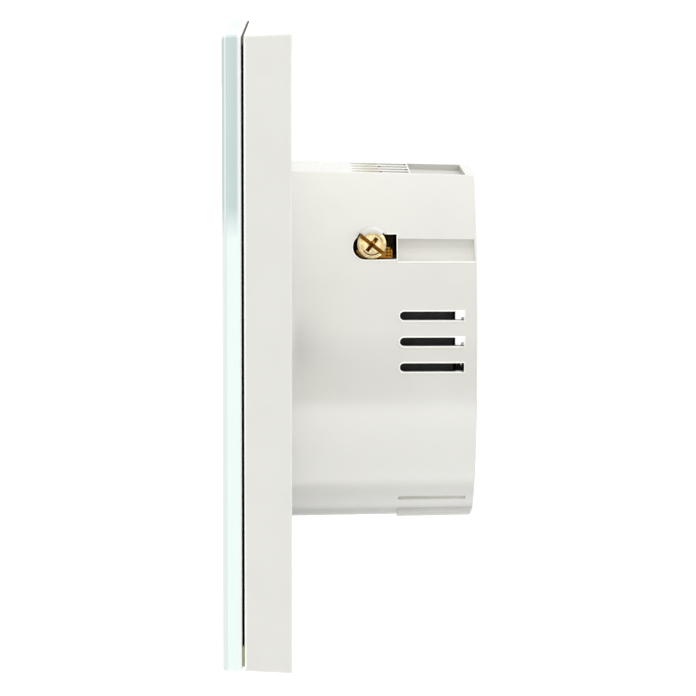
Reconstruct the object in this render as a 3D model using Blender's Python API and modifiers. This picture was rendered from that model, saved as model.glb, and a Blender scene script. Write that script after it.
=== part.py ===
"""Wall thermostat for a flush box: an 86 mm square glass touch panel on a round rear housing.

Frame: metres, +Z up. The wall is the plane Y = 0, the glass faces -Y and the rear housing
reaches along +Y into the box. The origin is the middle of the panel in the wall plane.
"""
import math

import bmesh
import bpy
from mathutils import Vector

# ---------------------------------------------------------------- driving dimensions, metres
GAP = 0.0003                 # space left between neighbouring pieces
BEYOND = 0.001               # how far a cutter reaches past the face it cuts

PLATE = 0.0860               # side of the cover's back edge
COVER_FRONT = 0.0854         # side of the cover at its front edge: the walls are drafted
GLASS_SIDE = 0.0856
COVER_DEPTH = 0.0064
COVER_WALL = 0.0018
COVER_FACE = 0.0012          # thickness of the cover's front plate
CORNER = 0.00025             # radius of the cover's four corner edges
GLASS_DEPTH = 0.0026
GLASS_ARRIS = 0.00045
GLASS_GAP = 0.0003           # dark line between the glass and the cover
AIR_SLOT_PITCH = 0.0095       # three air slots and a pry notch in the cover's lower wall
AIR_SLOT_WIDTH = 0.0070
AIR_SLOT_Y = (-0.0042, -0.0029)
PRY_NOTCH = (0.0090, 0.0012)  # width and depth
RIB_X = 0.0220                # snap ribs inside the cover's upper and lower walls
RIB_LENGTH = 0.0080
RIB_Y = (-0.0020, -0.0006)
RIB_PROUD = 0.0005
GASKET_INSET = 0.0038
GASKET_WIDTH = 0.0030
GASKET_DEPTH = 0.0008

FLANGE = 0.0806              # side of the mounting flange inside the cover
FLANGE_DEPTH = 0.0018
BOX_SPACING = 0.0600         # distance between the flush box's two screws
SLOT_WIDTH = 0.0048
SLOT_LENGTH = 0.0092

HOUSING_RADIUS = 0.0270      # at the wall
HOUSING_REAR_RADIUS = 0.0266
HOUSING_DEPTH = 0.0255
HOUSING_WALL = 0.0018
HOUSING_REAR_WALL = 0.0016
HOUSING_CHAMFER = 0.0003
FLAT_Z = 0.0230              # height of the terminal flat at the wall
FLAT_REAR_Z = 0.0224
FLAT_WALL = 0.0018
HOUSING_SIDES = 96

VENT_HEIGHT = 0.00128
VENT_PITCH = 0.00355
VENT_Z = {-1: -0.0009, 1: 0.0003}   # middle one of the three slots on the left and right side
VENT_FRONT = 0.0147
VENT_REAR = 0.0237
REAR_VENTS = ((1, 0.00655), (1, 0.00300), (1, -0.00055), (-1, 0.00655))   # side and Z of each slot
REAR_VENT_X = (0.0075, 0.0215)
REAR_VENT_HEIGHT = 0.0018
CABLE_WINDOW_X = (-0.0300, 0.0080)   # opening in the rear wall, open to the left side
CABLE_WINDOW_Z = (-0.0049, 0.0030)

TERMINAL_Y = 0.0110          # the six terminal screws stand in one plane
TERMINAL_PITCH = 0.0062
SIDE_TERMINAL_Z = 0.0135
SIDE_HEAD_X = 0.0241         # outer face of a side screw's head
TOP_HEAD_Z = 0.0223          # outer face of a top screw's head
HEAD_RADIUS = 0.0020
HEAD_DEPTH = 0.0014
SHANK_RADIUS = 0.0012
SHANK_CLEARANCE = 0.0015
SCREW_END = 0.0069           # from the head's outer face to the tip
DRIVE_WIDTH = 0.0007
DRIVE_DEPTH = 0.0007
DRIVE_CROSS = 0.0024          # length of the cross recess, which is deeper than the slot
DRIVE_ANGLE = math.radians(52)
CLAMP_TOP = 0.0017           # depths below the head's outer face
CLAMP_DEPTH = 0.0009
CLAMP_RADIUS = 0.00235       # on the tongue's side of the screw
CLAMP_BACK_RADIUS = 0.0020
CLAMP_EDGE = 0.00195         # the straight edge on the tongue's side
TONGUE = (0.0003, 0.00285, 0.0006)   # near side, reach and corner of the clamp's tongue
BLOCK_TOP = 0.0047
BLOCK_DEPTH = 0.0021
OPENING_FRONT = 0.0083
OPENING_REAR = 0.0145
TOP_OPENING_REAR = 0.0164
OPENING_WIDTH = 0.0034
OPENING_Z = 0.0131           # middle of a side opening
HEAD_CLEARANCE = 0.0002
GROOVE_RADIUS = 0.0017
GROOVE_Z = 0.0128
POCKET_HALF_WIDTH = 0.0122
POCKET_REAR = 0.0243
PAD_FRONT = 0.0149           # the raised pad and the two grooves under the housing
PAD_HALF_WIDTH = 0.0096
PAD_RISE = 0.0003
BOTTOM_GROOVE_ANGLE = math.radians(59)
BOTTOM_GROOVE_SIZE = 0.0012
REAR_BUMP = (0.0150, 0.0095)  # X and Z of the right-hand bump on the rear face
REAR_BUMP_RADIUS = 0.0010
REAR_BUMP_HEIGHT = 0.0002

BOARD_DEPTH = 0.0010
CONTROL_BOARD_Y = -0.0032    # front face of the control board
POWER_BOARD_Y = 0.0032
POWER_BOARD_DEPTH = 0.0016
COVER_DISC_Y = 0.0003
COVER_DISC_DEPTH = 0.0015
BOSS = (0.0165, -0.0160)     # X and Z of the right-hand screw boss
BOSS_RADIUS = 0.0026
COVER_SCREW_RADIUS = 0.00125
COVER_SCREW_HOLE = 0.0016

WINDOW = (0.0480, 0.0320)    # display: width and height
WINDOW_Z = 0.0100
KEY_PITCH = 0.0140
KEY_Z = -0.0250
KEY_COUNT = 5
SPRING_RADIUS = 0.0029
SPRING_WIRE = 0.0004
SPRING_TURNS = 3
PIN_PITCH = 0.00254
PIN_COUNT = 8
PIN_SIDE = 0.00064
HEADER_Z = -0.0100

COVER_FRONT_Y = -COVER_DEPTH
GLASS_BACK_Y = COVER_FRONT_Y - GLASS_GAP
GLASS_FRONT_Y = GLASS_BACK_Y - GLASS_DEPTH
HOUSING_REAR_INNER_Y = HOUSING_DEPTH - HOUSING_REAR_WALL
COMPONENT_Y = POWER_BOARD_Y + POWER_BOARD_DEPTH + GAP

FACING_FRONT = (math.pi / 2, 0.0, 0.0)          # outline X, Y lie along X, Z
FACING_SIDE = (math.pi / 2, 0.0, math.pi / 2)   # outline X, Y lie along Y, Z
ALONG_Y = (-math.pi / 2, 0.0, 0.0)              # local +Z lies along +Y
ALONG_X = (0.0, math.pi / 2, 0.0)               # local +Z lies along +X

IVORY = (0.80, 0.79, 0.74)
BRASS = (0.80, 0.60, 0.28)
BLACK = (0.015, 0.015, 0.016)
STEEL = (0.55, 0.55, 0.56)
BOARD_GREEN = (0.02, 0.16, 0.07)


# ---------------------------------------------------------------- helpers
def clear_scene():
    for item in list(bpy.data.objects):
        bpy.data.objects.remove(item, do_unlink=True)


def new_collection(name):
    collection = bpy.data.collections.new(name)
    bpy.context.scene.collection.children.link(collection)
    return collection


def new_material(name, colour, roughness, metallic=0.0, transmission=0.0):
    material = bpy.data.materials.new(name)
    material.use_nodes = True
    shader = material.node_tree.nodes["Principled BSDF"]
    shader.inputs["Base Color"].default_value = (*colour, 1.0)
    shader.inputs["Roughness"].default_value = roughness
    shader.inputs["Metallic"].default_value = metallic
    shader.inputs["Transmission Weight"].default_value = transmission
    material.diffuse_color = (*colour, 1.0)
    return material


def link(name, mesh, collection, location=(0, 0, 0), rotation=(0, 0, 0)):
    item = bpy.data.objects.new(name, mesh)
    item.location = location
    item.rotation_euler = rotation
    collection.objects.link(item)
    return item


def mesh_from(bm, name, smooth_angle=None):
    mesh = bpy.data.meshes.new(name)
    bm.to_mesh(mesh)
    bm.free()
    if smooth_angle is not None:
        mesh.shade_smooth()
        mesh.set_sharp_from_angle(angle=smooth_angle)
    return mesh


def box(name, low, high, collection):
    """A box between two world corners, with its origin in its middle."""
    low, high = Vector(low), Vector(high)
    bm = bmesh.new()
    bmesh.ops.create_cube(bm, size=1.0)
    bmesh.ops.scale(bm, vec=high - low, verts=bm.verts)
    return link(name, mesh_from(bm, name), collection, (low + high) / 2)


def cylinder(name, radius, start, end, collection, rotation=ALONG_Y, segments=32, end_radius=None):
    """A cylinder or cone between two points that lie along the rotated local Z axis."""
    start, end = Vector(start), Vector(end)
    bm = bmesh.new()
    bmesh.ops.create_cone(bm, cap_ends=True, segments=segments, radius1=radius,
                          radius2=radius if end_radius is None else end_radius,
                          depth=(end - start).length)
    mesh = mesh_from(bm, name, math.radians(40))
    return link(name, mesh, collection, (start + end) / 2, rotation)


def arc(centre_x, centre_y, radius, start, end, steps):
    """Points on an arc, with its angles in degrees."""
    points = []
    for step in range(steps + 1):
        angle = math.radians(start + (end - start) * step / steps)
        points.append((centre_x + radius * math.cos(angle), centre_y + radius * math.sin(angle)))
    return points


def circle(centre_x, centre_y, radius, steps=20):
    return arc(centre_x, centre_y, radius, 0, 360, steps)[:-1]


def rectangle(low_x, low_y, high_x, high_y):
    return [(low_x, low_y), (high_x, low_y), (high_x, high_y), (low_x, high_y)]


def plate(name, loops, thickness, collection, location=(0, 0, 0), rotation=(0, 0, 0)):
    """A flat outline with holes, made thick about its own plane."""
    curve = bpy.data.curves.new(name, "CURVE")
    curve.dimensions = "2D"
    curve.fill_mode = "BOTH"
    curve.extrude = thickness / 2
    for loop in loops:
        spline = curve.splines.new("POLY")
        spline.points.add(len(loop) - 1)
        spline.use_cyclic_u = True
        for point, (x, y) in zip(spline.points, loop):
            point.co = (x, y, 0.0, 1.0)
    source = link(name + "_outline", curve, collection)
    bpy.context.view_layer.update()
    evaluated = source.evaluated_get(bpy.context.evaluated_depsgraph_get())
    mesh = bpy.data.meshes.new_from_object(evaluated)
    bpy.data.objects.remove(source, do_unlink=True)
    bpy.data.curves.remove(curve)
    mesh.name = name
    bm = bmesh.new()
    bm.from_mesh(mesh)
    bmesh.ops.remove_doubles(bm, verts=bm.verts, dist=1e-6)
    bmesh.ops.recalc_face_normals(bm, faces=bm.faces)
    if bm.calc_volume(signed=True) < 0:
        bmesh.ops.reverse_faces(bm, faces=bm.faces)
    bm.to_mesh(mesh)
    bm.free()
    mesh.shade_smooth()
    mesh.set_sharp_from_angle(angle=math.radians(40))
    return link(name, mesh, collection, location, rotation)


def turned(name, profile, collection, segments):
    """A solid turned about world Y: the profile is (radius, Y) from the rear to the front."""
    mesh = bpy.data.meshes.new(name)
    vertices = [(radius, 0.0, y) for radius, y in profile]
    mesh.from_pydata(vertices, [(i, i + 1) for i in range(len(vertices) - 1)], [])
    item = link(name, mesh, collection, rotation=ALONG_Y)
    screw = item.modifiers.new("Turn", "SCREW")
    screw.axis = "Z"
    screw.steps = segments
    screw.render_steps = segments
    screw.use_merge_vertices = True
    screw.merge_threshold = 0.00001
    return item


def boolean(target, tool, operation="DIFFERENCE"):
    modifier = target.modifiers.new(operation.title(), "BOOLEAN")
    modifier.operation = operation
    modifier.solver = "EXACT"
    modifier.object = tool
    return tool


def round_edges(item, width, segments=1, angle=30):
    modifier = item.modifiers.new("Edges", "BEVEL")
    modifier.width = width
    modifier.segments = segments
    modifier.limit_method = "ANGLE"
    modifier.angle_limit = math.radians(angle)


def give(item, material, parent=None):
    item.data.materials.clear()
    item.data.materials.append(material)
    if parent is not None:
        item.parent = parent
    return item


def axis_empty(name, collection, location=(0, 0, 0), rotation=(0, 0, 0)):
    empty = link(name, None, collection, location, rotation)
    empty.empty_display_size = 0.005
    return empty


# ---------------------------------------------------------------- front panel
def drafted_square(name, front_side, back_side, front_y, back_y, collection):
    """A square block whose side changes from its front face to its back face."""
    item = box(name, (-0.5, front_y, -0.5), (0.5, back_y, 0.5), collection)
    for vertex in item.data.vertices:
        side = front_side if vertex.co.y < 0 else back_side
        vertex.co.x *= side
        vertex.co.z *= side
    return item


def make_glass(parts, panel):
    half = GLASS_SIDE / 2
    glass = box("glass_panel", (-half, GLASS_FRONT_Y, -half), (half, GLASS_BACK_Y, half), parts)
    round_edges(glass, GLASS_ARRIS)
    give(glass, new_material("printed_glass", (0.86, 0.93, 0.90), 0.05), panel)


def make_gasket(parts, panel):
    outer = GLASS_SIDE / 2 - GASKET_INSET
    inner = outer - GASKET_WIDTH
    middle = GLASS_BACK_Y + 0.00005 + GASKET_DEPTH / 2
    gasket = plate("panel_gasket", [rectangle(-outer, -outer, outer, outer),
                                    rectangle(-inner, -inner, inner, inner)],
                   GASKET_DEPTH, parts, (0, middle, 0), FACING_FRONT)
    give(gasket, new_material("foam_black", BLACK, 0.9), panel)


def key_positions():
    first = -KEY_PITCH * (KEY_COUNT - 1) / 2
    return [first + KEY_PITCH * index for index in range(KEY_COUNT)]


def make_front_cover(parts, cutters, panel):
    cover = drafted_square("front_cover", COVER_FRONT, PLATE, COVER_FRONT_Y, 0.0, parts)
    round_edges(cover, CORNER, 3, 80)
    inner = PLATE / 2 - COVER_WALL
    boolean(cover, box("cover_hollow", (-inner, COVER_FRONT_Y + COVER_FACE, -inner),
                       (inner, 0.002, inner), cutters))

    outer = GLASS_SIDE / 2 - GASKET_INSET + GAP / 2
    ring = outer - GASKET_WIDTH - GAP
    seat_floor = GLASS_BACK_Y + 0.00005 + GASKET_DEPTH + GAP / 2
    seat_depth = seat_floor - (COVER_FRONT_Y - 0.001)
    boolean(cover, plate("gasket_seat", [rectangle(-outer, -outer, outer, outer),
                                         rectangle(-ring, -ring, ring, ring)],
                         seat_depth, cutters, (0, seat_floor - seat_depth / 2, 0), FACING_FRONT))

    half_width, half_height = WINDOW[0] / 2 + GAP, WINDOW[1] / 2 + GAP
    openings = [rectangle(-half_width, WINDOW_Z - half_height, half_width, WINDOW_Z + half_height)]
    openings += [circle(x, KEY_Z, SPRING_RADIUS + 0.0009, 24) for x in key_positions()]
    boolean(cover, plate("cover_openings", openings, 0.006, cutters,
                         (0, COVER_FRONT_Y, 0), FACING_FRONT))

    low_z, high_z = -PLATE / 2 - BEYOND, -inner + BEYOND
    for index in range(3):
        middle = (index - 1) * AIR_SLOT_PITCH
        boolean(cover, box(f"air_slot_{index + 1}", (middle - AIR_SLOT_WIDTH / 2, AIR_SLOT_Y[0], low_z),
                           (middle + AIR_SLOT_WIDTH / 2, AIR_SLOT_Y[1], high_z), cutters))
    boolean(cover, box("pry_notch", (-PRY_NOTCH[0] / 2, -PRY_NOTCH[1], low_z),
                       (PRY_NOTCH[0] / 2, BEYOND, high_z), cutters))

    for side in (-1, 1):
        middle_z = side * (inner + RIB_PROUD)
        for end in (-1, 1):
            low_x = end * RIB_X - RIB_LENGTH / 2
            rib = box(f"snap_rib_{'lr'[side > 0]}{'bt'[end > 0]}",
                      (low_x, RIB_Y[0], middle_z - 2 * RIB_PROUD),
                      (low_x + RIB_LENGTH, RIB_Y[1], middle_z + 2 * RIB_PROUD), cutters)
            round_edges(rib, GAP)
            boolean(cover, rib, "UNION")
    give(cover, new_material("ivory_cover", IVORY, 0.3), panel)


def make_display(parts, panel):
    half_width, half_height = WINDOW[0] / 2, WINDOW[1] / 2
    lcd = box("lcd_module", (-half_width, COVER_FRONT_Y - 0.0001, WINDOW_Z - half_height),
              (half_width, COVER_FRONT_Y + 0.0016, WINDOW_Z + half_height), parts)
    round_edges(lcd, 0.0002)
    give(lcd, new_material("lcd_glass", (0.02, 0.02, 0.025), 0.1), panel)
    light = box("lcd_backlight", (-half_width - 0.0010, COVER_FRONT_Y + 0.0019, WINDOW_Z - half_height),
                (half_width + 0.0010, CONTROL_BOARD_Y - GAP, WINDOW_Z + half_height), parts)
    round_edges(light, 0.0002)
    give(light, new_material("light_guide", (0.85, 0.86, 0.88), 0.35), panel)


def make_control_board(parts, panel):
    half, notch, notch_half = 0.0330, 0.0270, 0.0065
    outline = [(-half, -half), (half, -half), (half, -notch_half), (notch, -notch_half),
               (notch, notch_half), (half, notch_half), (half, half), (-half, half),
               (-half, notch_half), (-notch, notch_half), (-notch, -notch_half), (-half, -notch_half)]
    board = plate("control_board", [outline], BOARD_DEPTH, parts,
                  (0, CONTROL_BOARD_Y + BOARD_DEPTH / 2, 0), FACING_FRONT)
    give(board, new_material("control_board_laminate", BOARD_GREEN, 0.35), panel)

    back = CONTROL_BOARD_Y + BOARD_DEPTH + GAP
    chip = box("microcontroller", (-0.0050, back, 0.0020), (0.0050, back + 0.0012, 0.0120), parts)
    round_edges(chip, 0.0002)
    give(chip, new_material("chip_black", BLACK, 0.5), panel)
    buzzer = cylinder("buzzer", 0.0045, (0.0125, back, 0.0030), (0.0125, back + 0.0018, 0.0030), parts)
    round_edges(buzzer, 0.0002, angle=60)
    give(buzzer, new_material("buzzer_black", BLACK, 0.4), panel)
    front = CONTROL_BOARD_Y - GAP
    sensor = box("room_sensor", (-0.0012, front - 0.0009, -0.0325), (0.0012, front, -0.0300), parts)
    round_edges(sensor, 0.0002)
    give(sensor, new_material("sensor_bead", (0.04, 0.04, 0.045), 0.3), panel)


def make_touch_springs(parts, panel):
    low_y = CONTROL_BOARD_Y - GAP - SPRING_WIRE / 2
    high_y = GLASS_BACK_Y + GAP + SPRING_WIRE / 2
    steps = SPRING_TURNS * 12
    metal = new_material("spring_steel", STEEL, 0.25, 1.0)
    for number, middle_x in enumerate(key_positions(), 1):
        curve = bpy.data.curves.new(f"touch_spring_{number}", "CURVE")
        curve.dimensions = "3D"
        curve.bevel_depth = SPRING_WIRE / 2
        curve.bevel_resolution = 2
        curve.use_fill_caps = True
        spline = curve.splines.new("POLY")
        spline.points.add(steps)
        for step, point in enumerate(spline.points):
            angle = 2 * math.pi * SPRING_TURNS * step / steps
            y = low_y + (high_y - low_y) * step / steps
            point.co = (SPRING_RADIUS * math.cos(angle), y, SPRING_RADIUS * math.sin(angle), 1.0)
        spring = link(f"touch_spring_{number}", curve, parts, (middle_x, 0, KEY_Z))
        give(spring, metal.copy(), panel)


def pin_positions():
    first = -PIN_PITCH * (PIN_COUNT - 1) / 2
    return [first + PIN_PITCH * index for index in range(PIN_COUNT)]


def make_pin_header(parts, cutters, panel):
    back = CONTROL_BOARD_Y + BOARD_DEPTH + GAP
    half_width = PIN_COUNT * PIN_PITCH / 2
    header = box("pin_header", (-half_width, back, HEADER_Z - 0.00125),
                 (half_width, back + 0.0014, HEADER_Z + 0.00125), parts)
    for number, x in enumerate(pin_positions(), 1):
        half = PIN_SIDE / 2
        pin = box(f"header_pin_{number}", (x - half, back + 0.0005, HEADER_Z - half),
                  (x + half, back + 0.0040, HEADER_Z + half), cutters)
        boolean(header, pin, "UNION")
    give(header, new_material("header_black", BLACK, 0.45), panel)


# ---------------------------------------------------------------- rear housing
def flat_block(name, drop, collection):
    """A big block above the terminal flat, lowered by drop, that follows the flat's slope."""
    slope = math.atan2(FLAT_Z - FLAT_REAR_Z, HOUSING_DEPTH)
    block = box(name, (-0.040, -0.010, 0.0), (0.040, 0.040, 0.020), collection)
    centre = Vector((0.0, 0.015, 0.010))
    tilt = Vector((0.0, centre.y * math.cos(slope) + centre.z * math.sin(slope),
                   centre.z * math.cos(slope) - centre.y * math.sin(slope)))
    block.location = tilt + Vector((0.0, 0.0, FLAT_Z - drop))
    block.rotation_euler = (-slope, 0.0, 0.0)
    return block


def make_cavity(cutters):
    """The hollow of the housing, with a step for the inner cover and solid backs for the grooves."""
    inner = HOUSING_RADIUS - HOUSING_WALL
    rear = HOUSING_REAR_RADIUS - HOUSING_WALL
    step = COVER_DISC_Y + COVER_DISC_DEPTH + GAP
    cavity = turned("housing_cavity", [(0.0, HOUSING_REAR_INNER_Y), (rear, HOUSING_REAR_INNER_Y),
                                       (inner, step), (inner + 0.0007, step),
                                       (inner + 0.0007, -0.004), (0.0, -0.004)], cutters, 64)
    boolean(cavity, flat_block("cavity_flat", FLAT_WALL, cutters))
    for side in (-1, 1):
        x_limits = sorted((side * 0.0195, side * 0.0300))
        boolean(cavity, box(f"groove_back_{'lr'[side > 0]}", (x_limits[0], OPENING_REAR + 0.0003, 0.0098),
                            (x_limits[1], 0.030, 0.0158), cutters))
        boolean(cavity, cylinder(f"screw_boss_{'lr'[side > 0]}", BOSS_RADIUS,
                                 (side * BOSS[0], COMPONENT_Y, BOSS[1]),
                                 (side * BOSS[0], 0.030, BOSS[1]), cutters))
    return cavity


def round_front(front, rear, middle, width, steps=10):
    """The outline of an opening with a round front end and a square rear end."""
    radius = width / 2
    return arc(front + radius, middle, radius, 90, 270, steps) + [(rear, middle - radius),
                                                                (rear, middle + radius)]


def side_outline(points, side):
    """Outlines for the left wall keep their Y and Z: the plate is only moved across."""
    return [points], (side * 0.0250, 0.0, 0.0)


def make_side_openings(housing, cutters):
    for side in (-1, 1):
        tag = "lr"[side > 0]
        loops, place = side_outline(round_front(OPENING_FRONT, OPENING_REAR, OPENING_Z,
                                                OPENING_WIDTH), side)
        boolean(housing, plate(f"side_opening_{tag}", loops, 0.0100, cutters, place, FACING_SIDE))
        boolean(housing, cylinder(f"head_clearance_{tag}", HEAD_RADIUS + HEAD_CLEARANCE,
                                  (side * 0.0185, TERMINAL_Y, SIDE_TERMINAL_Z),
                                  (side * 0.0300, TERMINAL_Y, SIDE_TERMINAL_Z), cutters, ALONG_X))
        boolean(housing, cylinder(f"wire_groove_{tag}", GROOVE_RADIUS,
                                  (side * 0.0236, OPENING_REAR - 0.0005, GROOVE_Z),
                                  (side * 0.0236, 0.030, GROOVE_Z), cutters, segments=24))
        for index in range(3):
            z = VENT_Z[side] + VENT_PITCH * (1 - index)
            loops, place = side_outline(round_front(VENT_FRONT, VENT_REAR, z, VENT_HEIGHT, 6), side)
            boolean(housing, plate(f"side_vent_{tag}{index + 1}", loops, 0.0070, cutters,
                                   place, FACING_SIDE))


def make_top_openings(housing, cutters):
    for index in range(4):
        middle = TERMINAL_PITCH * (index - 1.5)
        outline = [(x, y) for y, x in round_front(OPENING_FRONT, TOP_OPENING_REAR, middle,
                                                  OPENING_WIDTH)]
        boolean(housing, plate(f"top_opening_{index + 1}", [outline], 0.0060, cutters,
                               (0, 0, 0.0215)))
        boolean(housing, cylinder(f"top_clearance_{index + 1}", HEAD_RADIUS + HEAD_CLEARANCE,
                                  (middle, TERMINAL_Y, 0.0185), (middle, TERMINAL_Y, 0.0260),
                                  cutters, (0, 0, 0)))
    pocket = box("wire_pocket", (-POCKET_HALF_WIDTH, TOP_OPENING_REAR + 0.0003, 0.0217),
                 (POCKET_HALF_WIDTH, POCKET_REAR, 0.0260), cutters)
    pocket.rotation_euler = (math.radians(-2.0), 0.0, 0.0)
    boolean(housing, pocket)


def make_bottom_pad(housing, cutters):
    """The raised pad along the bottom of the housing, between two grooves."""
    rear = HOUSING_DEPTH
    pad = turned("bottom_pad", [(0.0, rear), (HOUSING_REAR_RADIUS, rear),
                                (HOUSING_REAR_RADIUS + PAD_RISE, rear - HOUSING_CHAMFER),
                                (HOUSING_RADIUS + PAD_RISE / 3, PAD_FRONT), (0.0, PAD_FRONT)],
                 cutters, HOUSING_SIDES)
    boolean(pad, box("pad_limits", (-PAD_HALF_WIDTH, 0.010, -0.030), (PAD_HALF_WIDTH, 0.030, -0.020),
                     cutters), "INTERSECT")
    boolean(housing, pad, "UNION")


def make_bottom_grooves(housing, cutters):
    half = BOTTOM_GROOVE_SIZE / 2
    for side in (-1, 1):
        groove = box(f"bottom_groove_{'lr'[side > 0]}", (-half, PAD_FRONT, -half),
                     (half, HOUSING_REAR_INNER_Y + 0.0004, half), cutters)
        groove.location.x = side * HOUSING_RADIUS * math.cos(BOTTOM_GROOVE_ANGLE)
        groove.location.z = -HOUSING_RADIUS * math.sin(BOTTOM_GROOVE_ANGLE)
        groove.rotation_euler.y = side * (BOTTOM_GROOVE_ANGLE - math.pi / 2)
        boolean(housing, groove)


def make_rear_openings(housing, cutters):
    """Four air slots and the cable window, which runs out through the left wall."""
    front, rear = HOUSING_REAR_INNER_Y - GAP, HOUSING_DEPTH + 0.001
    for index, (side, z) in enumerate(REAR_VENTS):
        low_x, high_x = sorted(side * x for x in REAR_VENT_X)
        boolean(housing, box(f"rear_vent_{index + 1}", (low_x, front, z - REAR_VENT_HEIGHT / 2),
                             (high_x, rear, z + REAR_VENT_HEIGHT / 2), cutters))
    boolean(housing, box("cable_window", (CABLE_WINDOW_X[0], front, CABLE_WINDOW_Z[0]),
                         (CABLE_WINDOW_X[1], rear, CABLE_WINDOW_Z[1]), cutters))


def make_base_housing(parts, cutters):
    flange = FLANGE / 2
    slot_x = BOX_SPACING / 2
    straight = SLOT_LENGTH / 2 - SLOT_WIDTH / 2
    loops = [rectangle(-flange, -flange, flange, flange)]
    for side in (-1, 1):
        loops.append(arc(side * slot_x, straight, SLOT_WIDTH / 2, 0, 180, 8)
                     + arc(side * slot_x, -straight, SLOT_WIDTH / 2, 180, 360, 8))
    housing = plate("base_housing", loops, FLANGE_DEPTH, parts, (0, -FLANGE_DEPTH / 2, 0), FACING_FRONT)

    rear, front = HOUSING_DEPTH, -FLANGE_DEPTH / 2
    bucket = turned("bucket", [(0.0, rear), (HOUSING_REAR_RADIUS - HOUSING_CHAMFER, rear),
                               (HOUSING_REAR_RADIUS, rear - HOUSING_CHAMFER), (HOUSING_RADIUS, 0.0),
                               (HOUSING_RADIUS, front), (0.0, front)], cutters, HOUSING_SIDES)
    boolean(bucket, flat_block("terminal_flat", 0.0, cutters))
    boolean(housing, bucket, "UNION")
    make_bottom_pad(housing, cutters)
    bump_x, bump_z = REAR_BUMP
    for side in (-1, 1):
        boolean(housing, cylinder(f"rear_bump_{'lr'[side > 0]}", REAR_BUMP_RADIUS,
                                  (side * bump_x, rear - 0.0006, bump_z),
                                  (side * bump_x, rear + REAR_BUMP_HEIGHT, bump_z), cutters,
                                  segments=16), "UNION")

    boolean(housing, make_cavity(cutters))
    make_side_openings(housing, cutters)
    make_top_openings(housing, cutters)
    make_rear_openings(housing, cutters)
    make_bottom_grooves(housing, cutters)
    for side in (-1, 1):
        boolean(housing, cylinder(f"boss_bore_{'lr'[side > 0]}", COVER_SCREW_HOLE,
                                  (side * BOSS[0], 0.001, BOSS[1]), (side * BOSS[0], 0.0130, BOSS[1]),
                                  cutters, segments=16))
    give(housing, new_material("ivory_housing", IVORY, 0.3))


def disc_outline(radius, flat_z, steps=60):
    """A circle with its top cut off level."""
    angle = math.degrees(math.asin(flat_z / radius))
    return arc(0, 0, radius, 180 - angle, 360 + angle, steps)


def make_inner_cover(parts):
    opening = (PIN_COUNT * PIN_PITCH / 2 + 0.0012, 0.0032)
    loops = [disc_outline(HOUSING_RADIUS - HOUSING_WALL + 0.0007 - GAP, FLAT_Z - FLAT_WALL - 0.0004),
             rectangle(-opening[0], HEADER_Z - opening[1], opening[0], HEADER_Z + opening[1])]
    loops += [circle(side * BOSS[0], BOSS[1], COVER_SCREW_HOLE) for side in (-1, 1)]
    cover = plate("inner_cover", loops, COVER_DISC_DEPTH, parts,
                  (0, COVER_DISC_Y + COVER_DISC_DEPTH / 2, 0), FACING_FRONT)
    give(cover, new_material("ivory_inner_cover", IVORY, 0.35))


def make_cover_screws(parts, cutters):
    metal = new_material("zinc_screw", STEEL, 0.3, 1.0)
    for number, side in enumerate((-1, 1), 1):
        x, z = side * BOSS[0], BOSS[1]
        screw = cylinder(f"cover_screw_{number}", 0.0023, (x, -0.0014, z), (x, 0.0, z), parts)
        shank = cylinder(f"cover_screw_shank_{number}", COVER_SCREW_RADIUS, (x, -0.0007, z),
                         (x, 0.0110, z), cutters, segments=16, end_radius=0.0008)
        boolean(screw, shank, "UNION")
        for turn in (0, 1):
            recess = box(f"cover_screw_recess_{number}{turn}", (x - 0.0013, -0.0020, z - 0.0003),
                         (x + 0.0013, -0.0007, z + 0.0003), cutters)
            recess.rotation_euler.y = turn * math.pi / 2
            boolean(screw, recess)
        give(screw, metal.copy())


def make_power_board(parts):
    loops = [disc_outline(HOUSING_RADIUS - HOUSING_WALL - 0.0007, FLAT_Z - FLAT_WALL - 0.0010)]
    loops += [circle(side * BOSS[0], BOSS[1], COVER_SCREW_HOLE) for side in (-1, 1)]
    board = plate("power_board", loops, POWER_BOARD_DEPTH, parts,
                  (0, POWER_BOARD_Y + POWER_BOARD_DEPTH / 2, 0), FACING_FRONT)
    give(board, new_material("power_board_laminate", BOARD_GREEN, 0.35))


def make_header_socket(parts):
    half_width = PIN_COUNT * PIN_PITCH / 2
    hole = PIN_SIDE / 2 + GAP
    loops = [rectangle(-half_width, HEADER_Z - 0.00125, half_width, HEADER_Z + 0.00125)]
    loops += [rectangle(x - hole, HEADER_Z - hole, x + hole, HEADER_Z + hole) for x in pin_positions()]
    front = -0.0002
    depth = POWER_BOARD_Y - GAP - front
    socket = plate("header_socket", loops, depth, parts, (0, front + depth / 2, 0), FACING_FRONT)
    give(socket, new_material("socket_black", BLACK, 0.45))


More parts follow.
